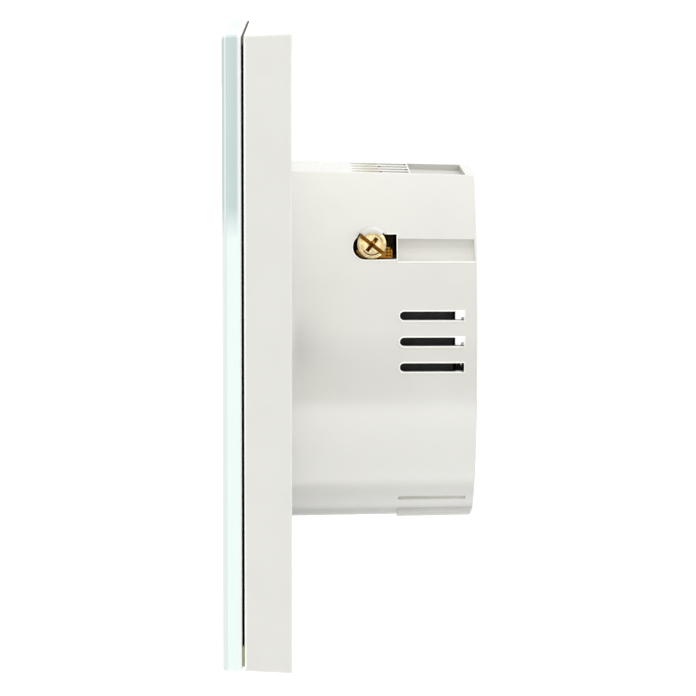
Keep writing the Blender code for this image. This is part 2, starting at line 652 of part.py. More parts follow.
def make_power_parts(parts, cutters):
    start = COMPONENT_Y
    relay = box("relay", (0.0069, start, -0.0102), (0.0221, 0.0226, 0.0090), parts)
    round_edges(relay, 0.0004, 2)
    give(relay, new_material("relay_black", BLACK, 0.45))

    core = box("transformer", (-0.0105, start + 0.0010, -0.0065), (0.0055, 0.0175, 0.0045), parts)
    for end in (-1, 1):
        middle = -0.0010 + end * 0.0040
        boolean(core, box(f"bobbin_{'lr'[end > 0]}", (-0.0085, start, middle - 0.0030),
                          (0.0035, 0.0165, middle + 0.0030 + 0.0020 * (end > 0)), cutters), "UNION")
    round_edges(core, 0.0002)
    give(core, new_material("ferrite_and_tape", (0.55, 0.42, 0.05), 0.4))

    for name, radius, x, z, rear, colour in (
            ("filter_capacitor", 0.0050, -0.0170, 0.0040, 0.0210, (0.02, 0.03, 0.06)),
            ("supply_capacitor", 0.0040, -0.0160, -0.0075, 0.0170, (0.02, 0.02, 0.02))):
        can = cylinder(name, radius, (x, start, z), (x, rear, z), parts)
        round_edges(can, 0.0004, 2, 60)
        give(can, new_material(name + "_sleeve", colour, 0.35))

    varistor = cylinder("varistor", 0.0050, (-0.0040, 0.0106, -0.0170), (-0.0040, 0.0106, -0.0130),
                        parts, (0, 0, 0))
    round_edges(varistor, 0.0009, 2, 60)
    give(varistor, new_material("varistor_blue", (0.02, 0.10, 0.35), 0.4))
    fuse = box("fuse", (0.0035, start, -0.0180), (0.0120, 0.0128, -0.0140), parts)
    round_edges(fuse, 0.0004, 2)
    give(fuse, new_material("fuse_brown", (0.16, 0.05, 0.02), 0.4))


# ---------------------------------------------------------------- terminals
def terminal_places():
    """Name, position of the head's outer face, rotation and tongue side of each terminal."""
    places = []
    for index in range(4):
        places.append((f"{index + 1}", (TERMINAL_PITCH * (index - 1.5), TERMINAL_Y, TOP_HEAD_Z),
                       (0.0, 0.0, 0.0), 1))
    for number, side in ((5, 1), (6, -1)):
        places.append((f"{number}", (side * SIDE_HEAD_X, TERMINAL_Y, SIDE_TERMINAL_Z),
                       (0.0, side * math.pi / 2, 0.0), side))
    return places


def local_box(name, low, high, parent, cutters):
    """A cutter placed in a terminal's own frame, whose Z points out along the screw."""
    item = box(name, low, high, cutters)
    item.parent = parent
    return item


def make_terminal_screw(name, frame, parts, cutters, metal):
    """The screw: local Z is its axis and local 0 is the outer face of its head."""
    bm = bmesh.new()
    bmesh.ops.create_cone(bm, cap_ends=True, segments=40, radius1=HEAD_RADIUS, radius2=HEAD_RADIUS,
                          depth=HEAD_DEPTH)
    bmesh.ops.translate(bm, vec=(0, 0, -HEAD_DEPTH / 2), verts=bm.verts)
    screw = link("terminal_screw_" + name, mesh_from(bm, name, math.radians(40)), parts)
    screw.parent = frame
    round_edges(screw, 0.00015, 2, 60)

    bm = bmesh.new()
    length = SCREW_END - HEAD_DEPTH / 2
    bmesh.ops.create_cone(bm, cap_ends=True, segments=20, radius1=SHANK_RADIUS * 0.75,
                          radius2=SHANK_RADIUS, depth=0.0006)
    bmesh.ops.translate(bm, vec=(0, 0, -SCREW_END + 0.0003), verts=bm.verts)
    tip = link(f"shank_tip_{name}", mesh_from(bm, "tip"), cutters)
    tip.parent = frame
    bm = bmesh.new()
    bmesh.ops.create_cone(bm, cap_ends=True, segments=20, radius1=SHANK_RADIUS,
                          radius2=SHANK_RADIUS, depth=length - 0.0005)
    bmesh.ops.translate(bm, vec=(0, 0, -SCREW_END + 0.0005 + (length - 0.0005) / 2), verts=bm.verts)
    shank = link(f"shank_{name}", mesh_from(bm, "shank"), cutters)
    shank.parent = frame
    boolean(screw, shank, "UNION")
    boolean(screw, tip, "UNION")

    slot = local_box(f"drive_slot_{name}", (-0.003, -DRIVE_WIDTH / 2, -DRIVE_DEPTH),
                     (0.003, DRIVE_WIDTH / 2, 0.001), frame, cutters)
    slot.rotation_euler.z = DRIVE_ANGLE
    boolean(screw, slot)
    cross = local_box(f"drive_cross_{name}", (-DRIVE_WIDTH / 2, -DRIVE_CROSS / 2, -DRIVE_DEPTH - 0.0002),
                      (DRIVE_WIDTH / 2, DRIVE_CROSS / 2, 0.001), frame, cutters)
    cross.rotation_euler.z = DRIVE_ANGLE
    boolean(screw, cross)
    give(screw, metal.copy())


def make_clamp_plate(name, frame, tongue, parts, metal):
    """The pressure plate: a stepped disc under the head with a tongue over the wire."""
    near, reach, corner = TONGUE
    edge_angle = math.degrees(math.acos(CLAMP_EDGE / CLAMP_RADIUS))
    near_angle = math.degrees(math.acos(near / CLAMP_RADIUS))
    points = arc(0, 0, CLAMP_RADIUS, -90, -edge_angle, 6) + [(CLAMP_EDGE, reach)]
    points += arc(near + corner, reach - corner, corner, 90, 180, 4)
    points += arc(0, 0, CLAMP_RADIUS, near_angle, 90, 2)
    points += arc(0, 0, CLAMP_BACK_RADIUS, 90, 270, 12)
    outline = [(tongue * x, y) for x, y in points]
    clamp = plate("clamp_plate_" + name, [outline, circle(0, 0, SHANK_CLEARANCE)],
                  CLAMP_DEPTH, parts, (0, 0, -CLAMP_TOP - CLAMP_DEPTH / 2))
    clamp.parent = frame
    give(clamp, metal.copy())


def make_terminal_block(name, frame, parts, cutters, metal):
    """The threaded block with the leg that is soldered into the power board."""
    half_x, half_y = 0.0019, 0.0031
    top, bottom = -BLOCK_TOP, -BLOCK_TOP - BLOCK_DEPTH
    block = plate("terminal_block_" + name, [rectangle(-half_x, -half_y, half_x, half_y),
                                             circle(0, 0, SHANK_CLEARANCE)],
                  BLOCK_DEPTH, parts, (0, 0, (top + bottom) / 2))
    block.parent = frame
    leg = local_box(f"solder_leg_{name}", (-0.0006, COMPONENT_Y - TERMINAL_Y, bottom + 0.0004),
                    (0.0006, -half_y + 0.0006, bottom + 0.0014), frame, cutters)
    boolean(block, leg, "UNION")
    give(block, metal.copy())


def make_terminals(parts, cutters):
    metal = new_material("terminal_brass", BRASS, 0.3, 1.0)
    for name, place, rotation, tongue in terminal_places():
        frame = axis_empty(f"terminal_axis_{name}", parts, place, rotation)
        make_terminal_screw(name, frame, parts, cutters, metal)
        make_clamp_plate(name, frame, tongue, parts, metal)
        make_terminal_block(name, frame, parts, cutters, metal)


def main():
    clear_scene()
    parts = new_collection("wall_thermostat")
    cutters = new_collection("cutters")
    panel = axis_empty("front_panel_slide", parts)
    make_glass(parts, panel)
    make_gasket(parts, panel)
    make_front_cover(parts, cutters, panel)
    make_display(parts, panel)
    make_control_board(parts, panel)
    make_touch_springs(parts, panel)
    make_pin_header(parts, cutters, panel)
    make_base_housing(parts, cutters)
    make_inner_cover(parts)
    make_cover_screws(parts, cutters)
    make_power_board(parts)
    make_header_socket(parts)
    make_power_parts(parts, cutters)
    make_terminals(parts, cutters)
    for item in cutters.objects:
        item.hide_render = True
        item.display_type = "WIRE"


main()
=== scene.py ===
"""Looks of the wall thermostat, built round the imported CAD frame.

Frame: metres, +Z up, the glass faces -Y, the wall is the plane Y = 0 and the rear housing
reaches along +Y. The camera stands on the +X side, a little above the middle.
"""
import math

import bmesh
import bpy
from mathutils import Matrix, Vector


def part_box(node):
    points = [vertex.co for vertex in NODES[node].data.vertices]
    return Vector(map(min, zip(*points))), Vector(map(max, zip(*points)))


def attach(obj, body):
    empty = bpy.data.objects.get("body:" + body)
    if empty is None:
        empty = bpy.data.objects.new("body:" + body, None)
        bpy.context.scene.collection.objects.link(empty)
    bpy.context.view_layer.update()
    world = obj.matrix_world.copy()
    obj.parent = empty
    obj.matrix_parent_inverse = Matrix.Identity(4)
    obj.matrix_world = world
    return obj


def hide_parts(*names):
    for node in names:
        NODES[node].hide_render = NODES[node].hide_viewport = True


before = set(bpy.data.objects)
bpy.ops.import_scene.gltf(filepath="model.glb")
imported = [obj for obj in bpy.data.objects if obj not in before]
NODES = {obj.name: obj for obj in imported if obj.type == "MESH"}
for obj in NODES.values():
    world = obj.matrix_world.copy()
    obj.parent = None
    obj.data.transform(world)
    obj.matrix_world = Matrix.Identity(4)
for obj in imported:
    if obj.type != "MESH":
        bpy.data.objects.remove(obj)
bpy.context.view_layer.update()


def new_object(name, data):
    thing = bpy.data.objects.new(name, data)
    bpy.context.scene.collection.objects.link(thing)
    return thing


def new_mesh(name, bm):
    """The mesh of a bmesh, which is freed."""
    mesh = bpy.data.meshes.new(name)
    bm.to_mesh(mesh)
    bm.free()
    return mesh


# -------- camera, light and floor
CAMERA_PLACE = Vector((0.663, 0.0006, 0.0603))
CAMERA_DOWN = math.radians(5.46)
CAMERA_TURN = math.radians(0.638)  # towards +Y
CAMERA_LENS, CAMERA_SENSOR = 241.0, 36.0
CAMERA_REACH = (0.01, 50.0)  # nearest and furthest distance that it sees
SKY = (1.02, 1.38)  # radiance at the horizon and overhead
SIDE_SKY = (0.35, 0.62)  # added towards +X and towards +Y
SIDE_START = 0.12  # how far a direction leans to a side before that is added
FLOOR_Z, FLOOR_SIZE = -0.2, 6.0
FLOOR_PAINTED_SHADE = (0.52, 0.86)  # grey under the object, a painted shade, and pale far behind it
FLOOR_FADE = (-0.35, -0.75)  # X between which it turns pale
# Middle, size and power of each
LOW_PANELS = (((0.095, 0.012, -0.185), (0.25, 0.5), 1.5),
              ((-0.105, 0.012, -0.185), (0.15, 0.5), 0.25))


def make_camera():
    data = bpy.data.cameras.new("camera")
    data.lens, data.sensor_width = CAMERA_LENS, CAMERA_SENSOR
    data.clip_start, data.clip_end = CAMERA_REACH
    camera = new_object("camera", data)
    forward = Vector((-math.cos(CAMERA_DOWN) * math.cos(CAMERA_TURN),
                      math.cos(CAMERA_DOWN) * math.sin(CAMERA_TURN), -math.sin(CAMERA_DOWN)))
    camera.location = CAMERA_PLACE
    camera.rotation_mode = "QUATERNION"
    camera.rotation_quaternion = forward.to_track_quat("-Z", "Y")
    bpy.context.scene.camera = camera


def make_world():
    """A white tent: as bright as paper at the horizon and brighter towards the top and two sides."""
    world = bpy.data.worlds.new("studio")
    world.use_nodes = True
    sky = NodeTree(world.node_tree)
    background = sky.tree.nodes["Background"]
    sky.feed(background.inputs["Color"], WHITE)
    direction = sky.node("ShaderNodeTexCoord", {}).outputs["Generated"]
    lean = sky.node("ShaderNodeSeparateXYZ", {"Vector": direction}).outputs
    strength = sky.spread(lean["Z"], *SKY, (0.0, 1.0))
    for axis, gain in zip("XY", SIDE_SKY):
        side = sky.spread(lean[axis], 0.0, gain, (SIDE_START, 1.0))
        strength = sky.node("ShaderNodeMath", {0: strength, 1: side}).outputs["Value"]
    sky.feed(background.inputs["Strength"], strength)
    bpy.context.scene.world = world
    bpy.context.scene.view_settings.view_transform = "Standard"


def make_floor():
    bm = bmesh.new()
    bmesh.ops.create_grid(bm, x_segments=1, y_segments=1, size=FLOOR_SIZE)
    floor = new_object("floor", new_mesh("floor", bm))
    floor.location.z = FLOOR_Z
    dark, pale = (grey(level) for level in FLOOR_PAINTED_SHADE)
    paper = Recipe("floor_paper", pale, 0.9)
    paper.set("Specular IOR Level", 0.0)
    # painted shade: the floor turns grey under the object
    paper.colour(paper.tint(paper.height_along("X", *FLOOR_FADE), [(0.0, dark), (1.0, pale)]))
    floor.data.materials.append(paper.material)


def make_low_panels():
    """Bright panels under the object that only its gloss sees."""
    for number, (place, size, power) in enumerate(LOW_PANELS, 1):
        data = bpy.data.lights.new(f"low_panel_{number}", "AREA")
        data.shape = "RECTANGLE"
        data.size, data.size_y = size
        data.energy = power
        light = new_object(data.name, data)
        light.location = place
        light.rotation_euler.x = math.pi
        light.visible_camera = light.visible_diffuse = False


# -------- shader nodes
WHITE, BLACK = (1.0, 1.0, 1.0), (0.0, 0.0, 0.0)
MIX_INPUTS, MIX_RESULT = (0, 6, 7), 2  # share, colours and result among a colour mix's sockets


def grey(level):
    return (level, level, level)


def around(colour, share):
    """Darker and lighter neighbours of a colour."""
    return [tuple(channel * (1 - share) for channel in colour),
            tuple(min(1.0, channel * (1 + share)) for channel in colour)]


class NodeTree:
    """A node tree with a few helpers."""

    def __init__(self, tree):
        self.tree = tree

    def feed(self, target, source):
        """Link a socket to an output, or set it to a plain value."""
        if isinstance(source, bpy.types.NodeSocket):
            self.tree.links.new(source, target)
        else:
            target.default_value = (*source, 1.0) if target.type == "RGBA" else source

    def node(self, kind, inputs, **settings):
        """A new node with its settings, and with values or links for some of its inputs."""
        node = self.tree.nodes.new(kind)
        for key, value in settings.items():
            setattr(node, key, value)
        for key, source in inputs.items():
            self.feed(node.inputs[key], source)
        return node

    def spread(self, value, low, high, source=(0.35, 0.65)):
        """Remap a value from one range to another."""
        inputs = {"Value": value, "From Min": source[0], "From Max": source[1], "To Min": low, "To Max": high}
        return self.node("ShaderNodeMapRange", inputs).outputs["Result"]


class Recipe(NodeTree):
    """A Principled material."""

    def __init__(self, name, colour, roughness, metallic=0.0, **sockets):
        self.material = bpy.data.materials.new(name)
        self.material.use_nodes = True
        super().__init__(self.material.node_tree)
        self.shader = self.tree.nodes["Principled BSDF"]
        self.place = self.node("ShaderNodeTexCoord", {}).outputs["Object"]
        self.set("Base Color", colour).set("Roughness", roughness).set("Metallic", metallic)
        for key, value in sockets.items():
            self.set(key.replace("_", " "), value)

    def set(self, socket, source):
        self.feed(self.shader.inputs[socket], source)
        return self

    def mapped(self, **inputs):
        """The surface point's coordinates, shifted, turned or scaled."""
        return self.node("ShaderNodeMapping", {"Vector": self.place, **inputs}).outputs["Vector"]

    def upright(self):
        """Coordinates whose first two axes lie in an upright plate facing the front."""
        return self.mapped(Rotation=(-math.pi / 2, 0.0, 0.0))

    def noise(self, scale, detail=3.0, stretch=(1.0, 1.0, 1.0)):
        inputs = {"Vector": self.mapped(Scale=stretch), "Scale": scale, "Detail": detail}
        return self.node("ShaderNodeTexNoise", inputs).outputs["Fac"]

    def cells(self, scale, upright=False, randomness=1.0):
        """Distance from scattered points, or from points of an upright plane."""
        vector, dimensions = (self.upright(), "2D") if upright else (self.place, "3D")
        inputs = {"Vector": vector, "Scale": scale, "Randomness": randomness}
        return self.node("ShaderNodeTexVoronoi", inputs, voronoi_dimensions=dimensions).outputs["Distance"]

    def bands(self, scale, direction="X", distortion=0.0):
        """Parallel bands along an axis."""
        inputs = {"Vector": self.place, "Scale": scale, "Distortion": distortion}
        return self.node("ShaderNodeTexWave", inputs, bands_direction=direction).outputs["Fac"]

    def height_along(self, axis, low, high):
        """A coordinate of the surface point, as 0-1 between two values."""
        split = self.node("ShaderNodeSeparateXYZ", {"Vector": self.place})
        return self.spread(split.outputs[axis], 0.0, 1.0, (low, high))

    def reach(self, low, high):
        """Distance from the upright middle of a box, as 0-1 out to half its width along X."""
        x, z = (low[0] + high[0]) / 2, (low[2] + high[2]) / 2
        flat = self.mapped(Location=(-x, 0.0, -z), Scale=(1.0, 0.0, 1.0))
        length = self.node("ShaderNodeVectorMath", {0: flat}, operation="LENGTH").outputs["Value"]
        return self.spread(length, 0.0, 1.0, (0.0, (high[0] - low[0]) / 2))

    def tint(self, value, stops, blend="LINEAR"):
        """Colour from a value, through (position, colour) stops."""
        ramp = self.node("ShaderNodeValToRGB", {"Fac": value})
        ramp.color_ramp.interpolation = blend
        while len(ramp.color_ramp.elements) < len(stops):
            ramp.color_ramp.elements.new(0.5)
        for element, (position, colour) in zip(ramp.color_ramp.elements, stops):
            element.position = position
            element.color = (*colour, 1.0)
        return ramp.outputs["Color"]

    def mask(self, value, *edges, first=BLACK):
        """Black and white by turns: a value starts with the first and swaps at each edge."""
        pair = (first, WHITE if first == BLACK else BLACK)
        return self.tint(value, [(edge, pair[turn % 2]) for turn, edge in enumerate((0.0, *edges))],
                         "CONSTANT")

    def clouded(self, scale, low, high, span=(0.3, 0.7), **settings):
        """A colour that drifts softly between two over the surface."""
        return self.tint(self.noise(scale, **settings), list(zip(span, (low, high))))

    def mixed(self, share, first, second, blend="MIX"):
        """One colour turning into another as share goes from 0 to 1."""
        inputs = dict(zip(MIX_INPUTS, (share, first, second)))
        mix = self.node("ShaderNodeMix", inputs, data_type="RGBA", blend_type=blend)
        return mix.outputs[MIX_RESULT]

    def colour(self, output):
        return self.set("Base Color", output)

    def metal(self, output):
        return self.set("Metallic", output)

    def polish(self, scale, low, high, detail=3.0):
        """Roughness that drifts softly between two values over the surface."""
        return self.set("Roughness", self.spread(self.noise(scale, detail), low, high))

    def bump(self, height, distance, strength=1.0):
        """Relief on top of any that the material already has."""
        inputs = {"Distance": distance, "Strength": strength, "Height": height}
        previous = self.shader.inputs["Normal"]
        if previous.is_linked:
            inputs["Normal"] = previous.links[0].from_socket
        return self.set("Normal", self.node("ShaderNodeBump", inputs).outputs["Normal"])


# -------- geometry helpers
TUBE_SIDES = 2
WELD = 1e-6
CUT_ANGLE = math.radians(40.0)  # edges sharper than this are rounded after a cut
CUT_SEGMENTS = 2


def arc(centre_x, centre_y, radius, start, end, steps):
    angles = [math.radians(start + (end - start) * step / steps) for step in range(steps + 1)]
    return [(centre_x + radius * math.cos(a), centre_y + radius * math.sin(a)) for a in angles]


def ring(centre_x, centre_y, radius, steps):
    return arc(centre_x, centre_y, radius, 0, 360, steps)[:-1]


def rectangle(low_x, low_y, high_x, high_y):
    return [(low_x, low_y), (high_x, low_y), (high_x, high_y), (low_x, high_y)]


def upright_square(half, y, corner):
    """Corner points of an upright square with cut corners."""
    points = []
    for sx, sz in ((1, 1), (-1, 1), (-1, -1), (1, -1)):
        first = (sx * half, y, sz * (half - corner))
        second = (sx * (half - corner), y, sz * half)
        points += [first, second] if sx * sz > 0 else [second, first]
    return points


def ease(value):
    """A smooth step from 0 to 1."""
    value = min(max(value, 0.0), 1.0)
    return value * value * (3.0 - 2.0 * value)


def finish_piece(name, mesh, materials, body, replaces=()):
    """A visible piece that rides on a body, with its polygons' slots kept."""
    piece = new_object(name, mesh)
    slots = [polygon.material_index for polygon in mesh.polygons]
    mesh.materials.clear()
    for material in materials:
        mesh.materials.append(material)
    mesh.polygons.foreach_set("material_index", slots)
    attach(piece, body)
    if replaces:
        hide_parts(*replaces)


def evaluated_mesh(source, name):
    """The mesh of an object with its modifiers applied; the source is deleted."""
    bpy.context.view_layer.update()
    evaluated = source.evaluated_get(bpy.context.evaluated_depsgraph_get())
    mesh = bpy.data.meshes.new_from_object(evaluated)
    mesh.name = name
    bpy.data.objects.remove(source, do_unlink=True)
    return mesh


def curve_mesh(name, paths, closed, **settings):
    """The mesh of a curve that runs straight between the points of each path."""
    curve = bpy.data.curves.new(name, "CURVE")
    for key, value in settings.items():
        setattr(curve, key, value)
    for path in paths:
        spline = curve.splines.new("POLY")
        spline.points.add(len(path) - 1)
        spline.use_cyclic_u = closed
        for point, place in zip(spline.points, path):
            point.co = (*Vector(place).to_3d(), 1.0)
    mesh = evaluated_mesh(new_object(name, curve), name)
    bpy.data.curves.remove(curve)
    return mesh


def tubes(name, paths, radius, material, body, closed=True):
    """Thin round beads along paths of points, in one piece."""
    mesh = curve_mesh(name, paths, closed, dimensions="3D", bevel_depth=radius, bevel_resolution=TUBE_SIDES,
                      use_fill_caps=True)
    mesh.shade_smooth()
    finish_piece(name, mesh, [material], body)


def plate_mesh(name, loops, thickness):
    """A plate: a flat outline with holes in local X, Y, made thick about local Z."""
    mesh = curve_mesh(name, loops, True, dimensions="2D", fill_mode="BOTH", extrude=thickness / 2)
    bm = bmesh.new()
    bm.from_mesh(mesh)
    bmesh.ops.remove_doubles(bm, verts=bm.verts, dist=WELD)
    bmesh.ops.recalc_face_normals(bm, faces=bm.faces)
    if bm.calc_volume(signed=True) < 0:
        bmesh.ops.reverse_faces(bm, faces=bm.faces)
    bm.to_mesh(mesh)
    bm.free()
    return mesh


def sheet(name, loops, front_y, thickness, material, body):
    """A thin upright plate: its outline lies in X and Z, its front face at front_y."""
    mesh = plate_mesh(name, loops, thickness)
    turn = Matrix.Rotation(math.pi / 2, 4, "X")
    mesh.transform(Matrix.Translation((0, front_y + thickness / 2, 0)) @ turn)
    finish_piece(name, mesh, [material], body)


def lofted_mesh(name, outlines):
    """A closed solid through outlines in a row; an outline of one point is a tip."""
    bm = bmesh.new()
    rings = [[bm.verts.new(point) for point in outline] for outline in outlines]
    for near, far in zip(rings, rings[1:]):
        count = max(len(near), len(far))
        for index in range(count):
            following = (index + 1) % count
            corners = [near[index % len(near)], near[following % len(near)],
                       far[following % len(far)], far[index % len(far)]]
            bm.faces.new(list(dict.fromkeys(corners)))
    for end in (rings[0], rings[-1]):
        if len(end) > 1:
            bm.faces.new(end)
    bmesh.ops.recalc_face_normals(bm, faces=bm.faces)
    return new_mesh(name, bm)


def turned_mesh(name, profile, segments):
    """A closed solid turned about local Z from (radius, z) points that start and end on the axis."""
    return lofted_mesh(name, [[(x, y, z) for x, y in ring(0.0, 0.0, radius, segments)] if radius
                              else [(0.0, 0.0, z)] for radius, z in profile])


def box_mesh(name, low, high, turn):
    """A box between two corners, turned about local Z."""
    bm = bmesh.new()
    low, high = Vector(low), Vector(high)
    bmesh.ops.create_cube(bm, size=1.0)
    bmesh.ops.scale(bm, vec=high - low, verts=bm.verts)
    bmesh.ops.translate(bm, vec=(low + high) / 2, verts=bm.verts)
    bmesh.ops.rotate(bm, cent=(0, 0, 0), matrix=Matrix.Rotation(turn, 3, "Z"), verts=bm.verts)
    return new_mesh(name, bm)


def cut(mesh, tools, bevel):
    """Subtract tool meshes from a mesh, then round its sharp edges."""
    source = new_object("work", mesh)
    helpers = [new_object("tool", tool) for tool in tools]
    for helper in helpers:
        modifier = source.modifiers.new("cut", "BOOLEAN")
        modifier.solver = "EXACT"
        modifier.object = helper
    modifier = source.modifiers.new("round", "BEVEL")
    modifier.width, modifier.segments = bevel, CUT_SEGMENTS
    modifier.limit_method, modifier.angle_limit = "ANGLE", CUT_ANGLE
    result = evaluated_mesh(source, mesh.name)
    for helper in helpers:
        bpy.data.objects.remove(helper, do_unlink=True)
    result.shade_smooth()
    result.set_sharp_from_angle(angle=CUT_ANGLE)
    return result


# -------- plastics
IVORY = (0.66, 0.655, 0.615)
CLOUD_IVORY, CLOUD_SHARE = (0.6425, 0.6375, 0.6), 0.3
PALE_IVORY = (0.7, 0.695, 0.655)
SMOOTH, FINE_GRAIN = 0.22, 0.000002  # roughness and relief of a polished moulding
# Painted shade and light on the housing's ivory: brightness between two heights, next to the wall and at the
# rear
SHADE_HEIGHTS, SHADE_DEPTHS = (-0.027, 0.023), (0.0015, 0.02)
PAINTED_SHADES_WALL = ((0.035, 0.74), (0.08, 0.92), (0.18, 0.95), (0.3, 1.03), (0.42, 1.05), (0.58, 1.09),
               (0.7, 1.04), (0.84, 1.07))
PAINTED_SHADES_REAR = ((0.035, 0.97), (0.08, 1.07), (0.18, 0.96), (0.3, 0.99), (0.4, 1.08), (0.56, 1.0),
               (0.7, 0.92), (0.84, 0.93))


def moulded_plastic(name, colour, roughness=SMOOTH, grain=FINE_GRAIN):
    """Injection moulded plastic: faint clouding and a very fine spark-eroded skin."""
    recipe = Recipe(name, colour, roughness)
    recipe.colour(recipe.clouded(180.0, *around(colour, 0.012), span=(0.35, 0.65), detail=4.0))
    recipe.polish(900.0, roughness * 0.85, roughness * 1.15, detail=2.0)
    return recipe.bump(recipe.noise(9000.0, 2.0), grain).material


def housing_plastic():
    """Ivory plastic with painted shade and light: darker or lighter by height and by depth."""
    recipe = Recipe("housing_ivory_painted_shade", IVORY, SMOOTH)
    height = recipe.height_along("Z", *SHADE_HEIGHTS)
    near, far = (recipe.tint(height, [(place, tuple(channel * share for channel in IVORY))
                                      for place, share in shades]) for shades in (PAINTED_SHADES_WALL, PAINTED_SHADES_REAR))
    # painted shade: the ivory darkened or lightened by height, next to the wall and at the rear
    painted_shade = recipe.mixed(recipe.height_along("Y", *SHADE_DEPTHS), near, far)
    cloud = recipe.spread(recipe.noise(180.0, 4.0), 0.0, CLOUD_SHARE)
    recipe.colour(recipe.mixed(cloud, painted_shade, CLOUD_IVORY)).polish(900.0, 0.19, 0.25, detail=2.0)
    return recipe.bump(recipe.noise(9000.0, 2.0), FINE_GRAIN).material


ivory = housing_plastic()
cover_ivory = moulded_plastic("cover_ivory", PALE_IVORY)
# A lighter ivory for rounded edges: a painted highlight
highlight_ivory = moulded_plastic("ivory_edge_painted_highlight", (0.93, 0.92, 0.87))
groove_ivory = moulded_plastic("groove_ivory", (0.66, 0.65, 0.605))
# A darker ivory that paints shade in the flat's sunk part, and a near-black that paints shade inside
recess_ivory_painted_shade = moulded_plastic("recess_ivory_painted_shade", (0.5, 0.49, 0.45), 0.55, 0.000006)
painted_shade_black = moulded_plastic("painted_shade_black_plastic", (0.012, 0.011, 0.009), 0.6)
print_white = moulded_plastic("screen_print_white", (0.88, 0.89, 0.88), 0.08)


# -------- glass and foam
# Colours across the pane's edge in its upper and lower part, from its front face (0) to its back
# face (1): bevel, bright arris, fine shadow, ground side, and the polished back bevel
# In these stops the bright arris and back bevel are painted highlights, the fine shadow is painted shade and
# the greyer upper part is a painted reflection
EDGE_COLOURS_AND_REFLECTIONS = (
    (0.0, (0.56, 0.64, 0.62), (0.79, 0.84, 0.825)), (0.11, (0.52, 0.6, 0.58), (0.76, 0.82, 0.805)),
    (0.13, (0.72, 0.815, 0.8), (0.72, 0.8, 0.78)), (0.2, (0.7, 0.79, 0.775), (0.71, 0.79, 0.77)),
    (0.23, (0.47, 0.57, 0.55), (0.65, 0.745, 0.725)), (0.27, (0.535, 0.625, 0.615), (0.78, 0.87, 0.845)),
    (0.7, (0.5, 0.595, 0.58), (0.775, 0.87, 0.845)), (0.8, (0.57, 0.62, 0.61), (0.8, 0.86, 0.835)),
    (0.82, (0.75, 0.81, 0.78), (0.8, 0.865, 0.83)), (0.915, (0.76, 0.81, 0.79), (0.78, 0.83, 0.8)),
    (0.93, (0.95, 0.97, 0.94), (0.95, 0.97, 0.94)))
REFLECTION_TURN = (0.0156, 0.02)  # heights between which the greyer upper part, a painted reflection, begins
# The tape's black is painted shade in the gap between the pane and the cover
TAPE_SHADE_BLACK, TAPE_OLIVE, TAPE_OLIVE_DARK = (0.003, 0.003, 0.003), (0.42, 0.5, 0.27), (0.12, 0.13, 0.1)
TAPE_TURN = 0.004  # share of the pane's height over which the tape changes colour
FOAM_PORES = 2600.0


def clear_glass():
    """The pane's polished faces: nearly clear, with the faint marks of wiping."""
    recipe = Recipe("clear_glass", (0.86, 0.96, 0.93), 0.03, Alpha=0.16)
    recipe.colour(recipe.clouded(40.0, (0.84, 0.95, 0.92), (0.88, 0.97, 0.94), span=(0.4, 0.6), detail=2.0))
    return recipe.polish(60.0, 0.02, 0.06).material


def glass_edge_painted_reflection():
    """Ground and polished edges of the pane: a green body colour with painted highlights and shade, and a
    greyer painted reflection in the upper part.
    """
    recipe = Recipe("glass_edge_painted_reflection", (0.72, 0.8, 0.78), 0.14)
    across = recipe.height_along("Y", GLASS_LOW[1], GLASS_HIGH[1])
    upper, lower = (recipe.tint(across, [(row[0], row[part]) for row in EDGE_COLOURS_AND_REFLECTIONS]) for part in (1, 2))
    recipe.colour(recipe.mixed(recipe.height_along("Z", *REFLECTION_TURN), lower, upper)).polish(300.0, 0.1, 0.2)
    return recipe.bump(recipe.noise(1200.0, 2.0), FINE_GRAIN).material


def foam_rubber():
    """Closed-cell foam with open pores on its cut faces."""
    recipe = Recipe("foam_black", grey(0.012), 0.95)
    pores = recipe.cells(FOAM_PORES)
    recipe.colour(recipe.tint(pores, [(0.15, grey(0.006)), (0.6, (0.016, 0.016, 0.015))]))
    return recipe.bump(pores, 0.00008).material


def sealing_tape_painted_shade():
    """Black foam tape, painted shade in the gap, that turns olive at its lower and upper ends."""
    recipe = Recipe("sealing_tape_painted_shade", grey(0.012), 0.95)
    recipe.set("Specular IOR Level", 0.0)
    height = 2 * GLASS_HALF
    low, high = TAPE_PALE[0] / height, 1.0 - TAPE_PALE[1] / height
    along = recipe.height_along("Z", -GLASS_HALF, GLASS_HALF)
    recipe.colour(recipe.tint(along, [(0.0, TAPE_OLIVE), (low - TAPE_TURN, TAPE_OLIVE), (low, TAPE_SHADE_BLACK),
                                      (high, TAPE_SHADE_BLACK), (high + TAPE_TURN, TAPE_OLIVE_DARK)]))
    return recipe.bump(recipe.cells(FOAM_PORES), 0.00005).material


foam = foam_rubber()


# -------- metals
def worn_metal(name, colour, roughness, uneven=0.18):
    """Turned or drawn metal: stains, varying polish and fine tool marks."""
    recipe = Recipe(name, colour, roughness, 1.0)
    dark, light = around(colour, uneven)
    recipe.colour(recipe.tint(recipe.noise(1400.0, 5.0), [(0.3, dark), (0.55, colour), (0.75, light)]))
    recipe.polish(2600.0, roughness * 0.7, roughness * 1.4)
    return recipe.bump(recipe.noise(5000.0, 4.0), 0.00002, 0.6).material


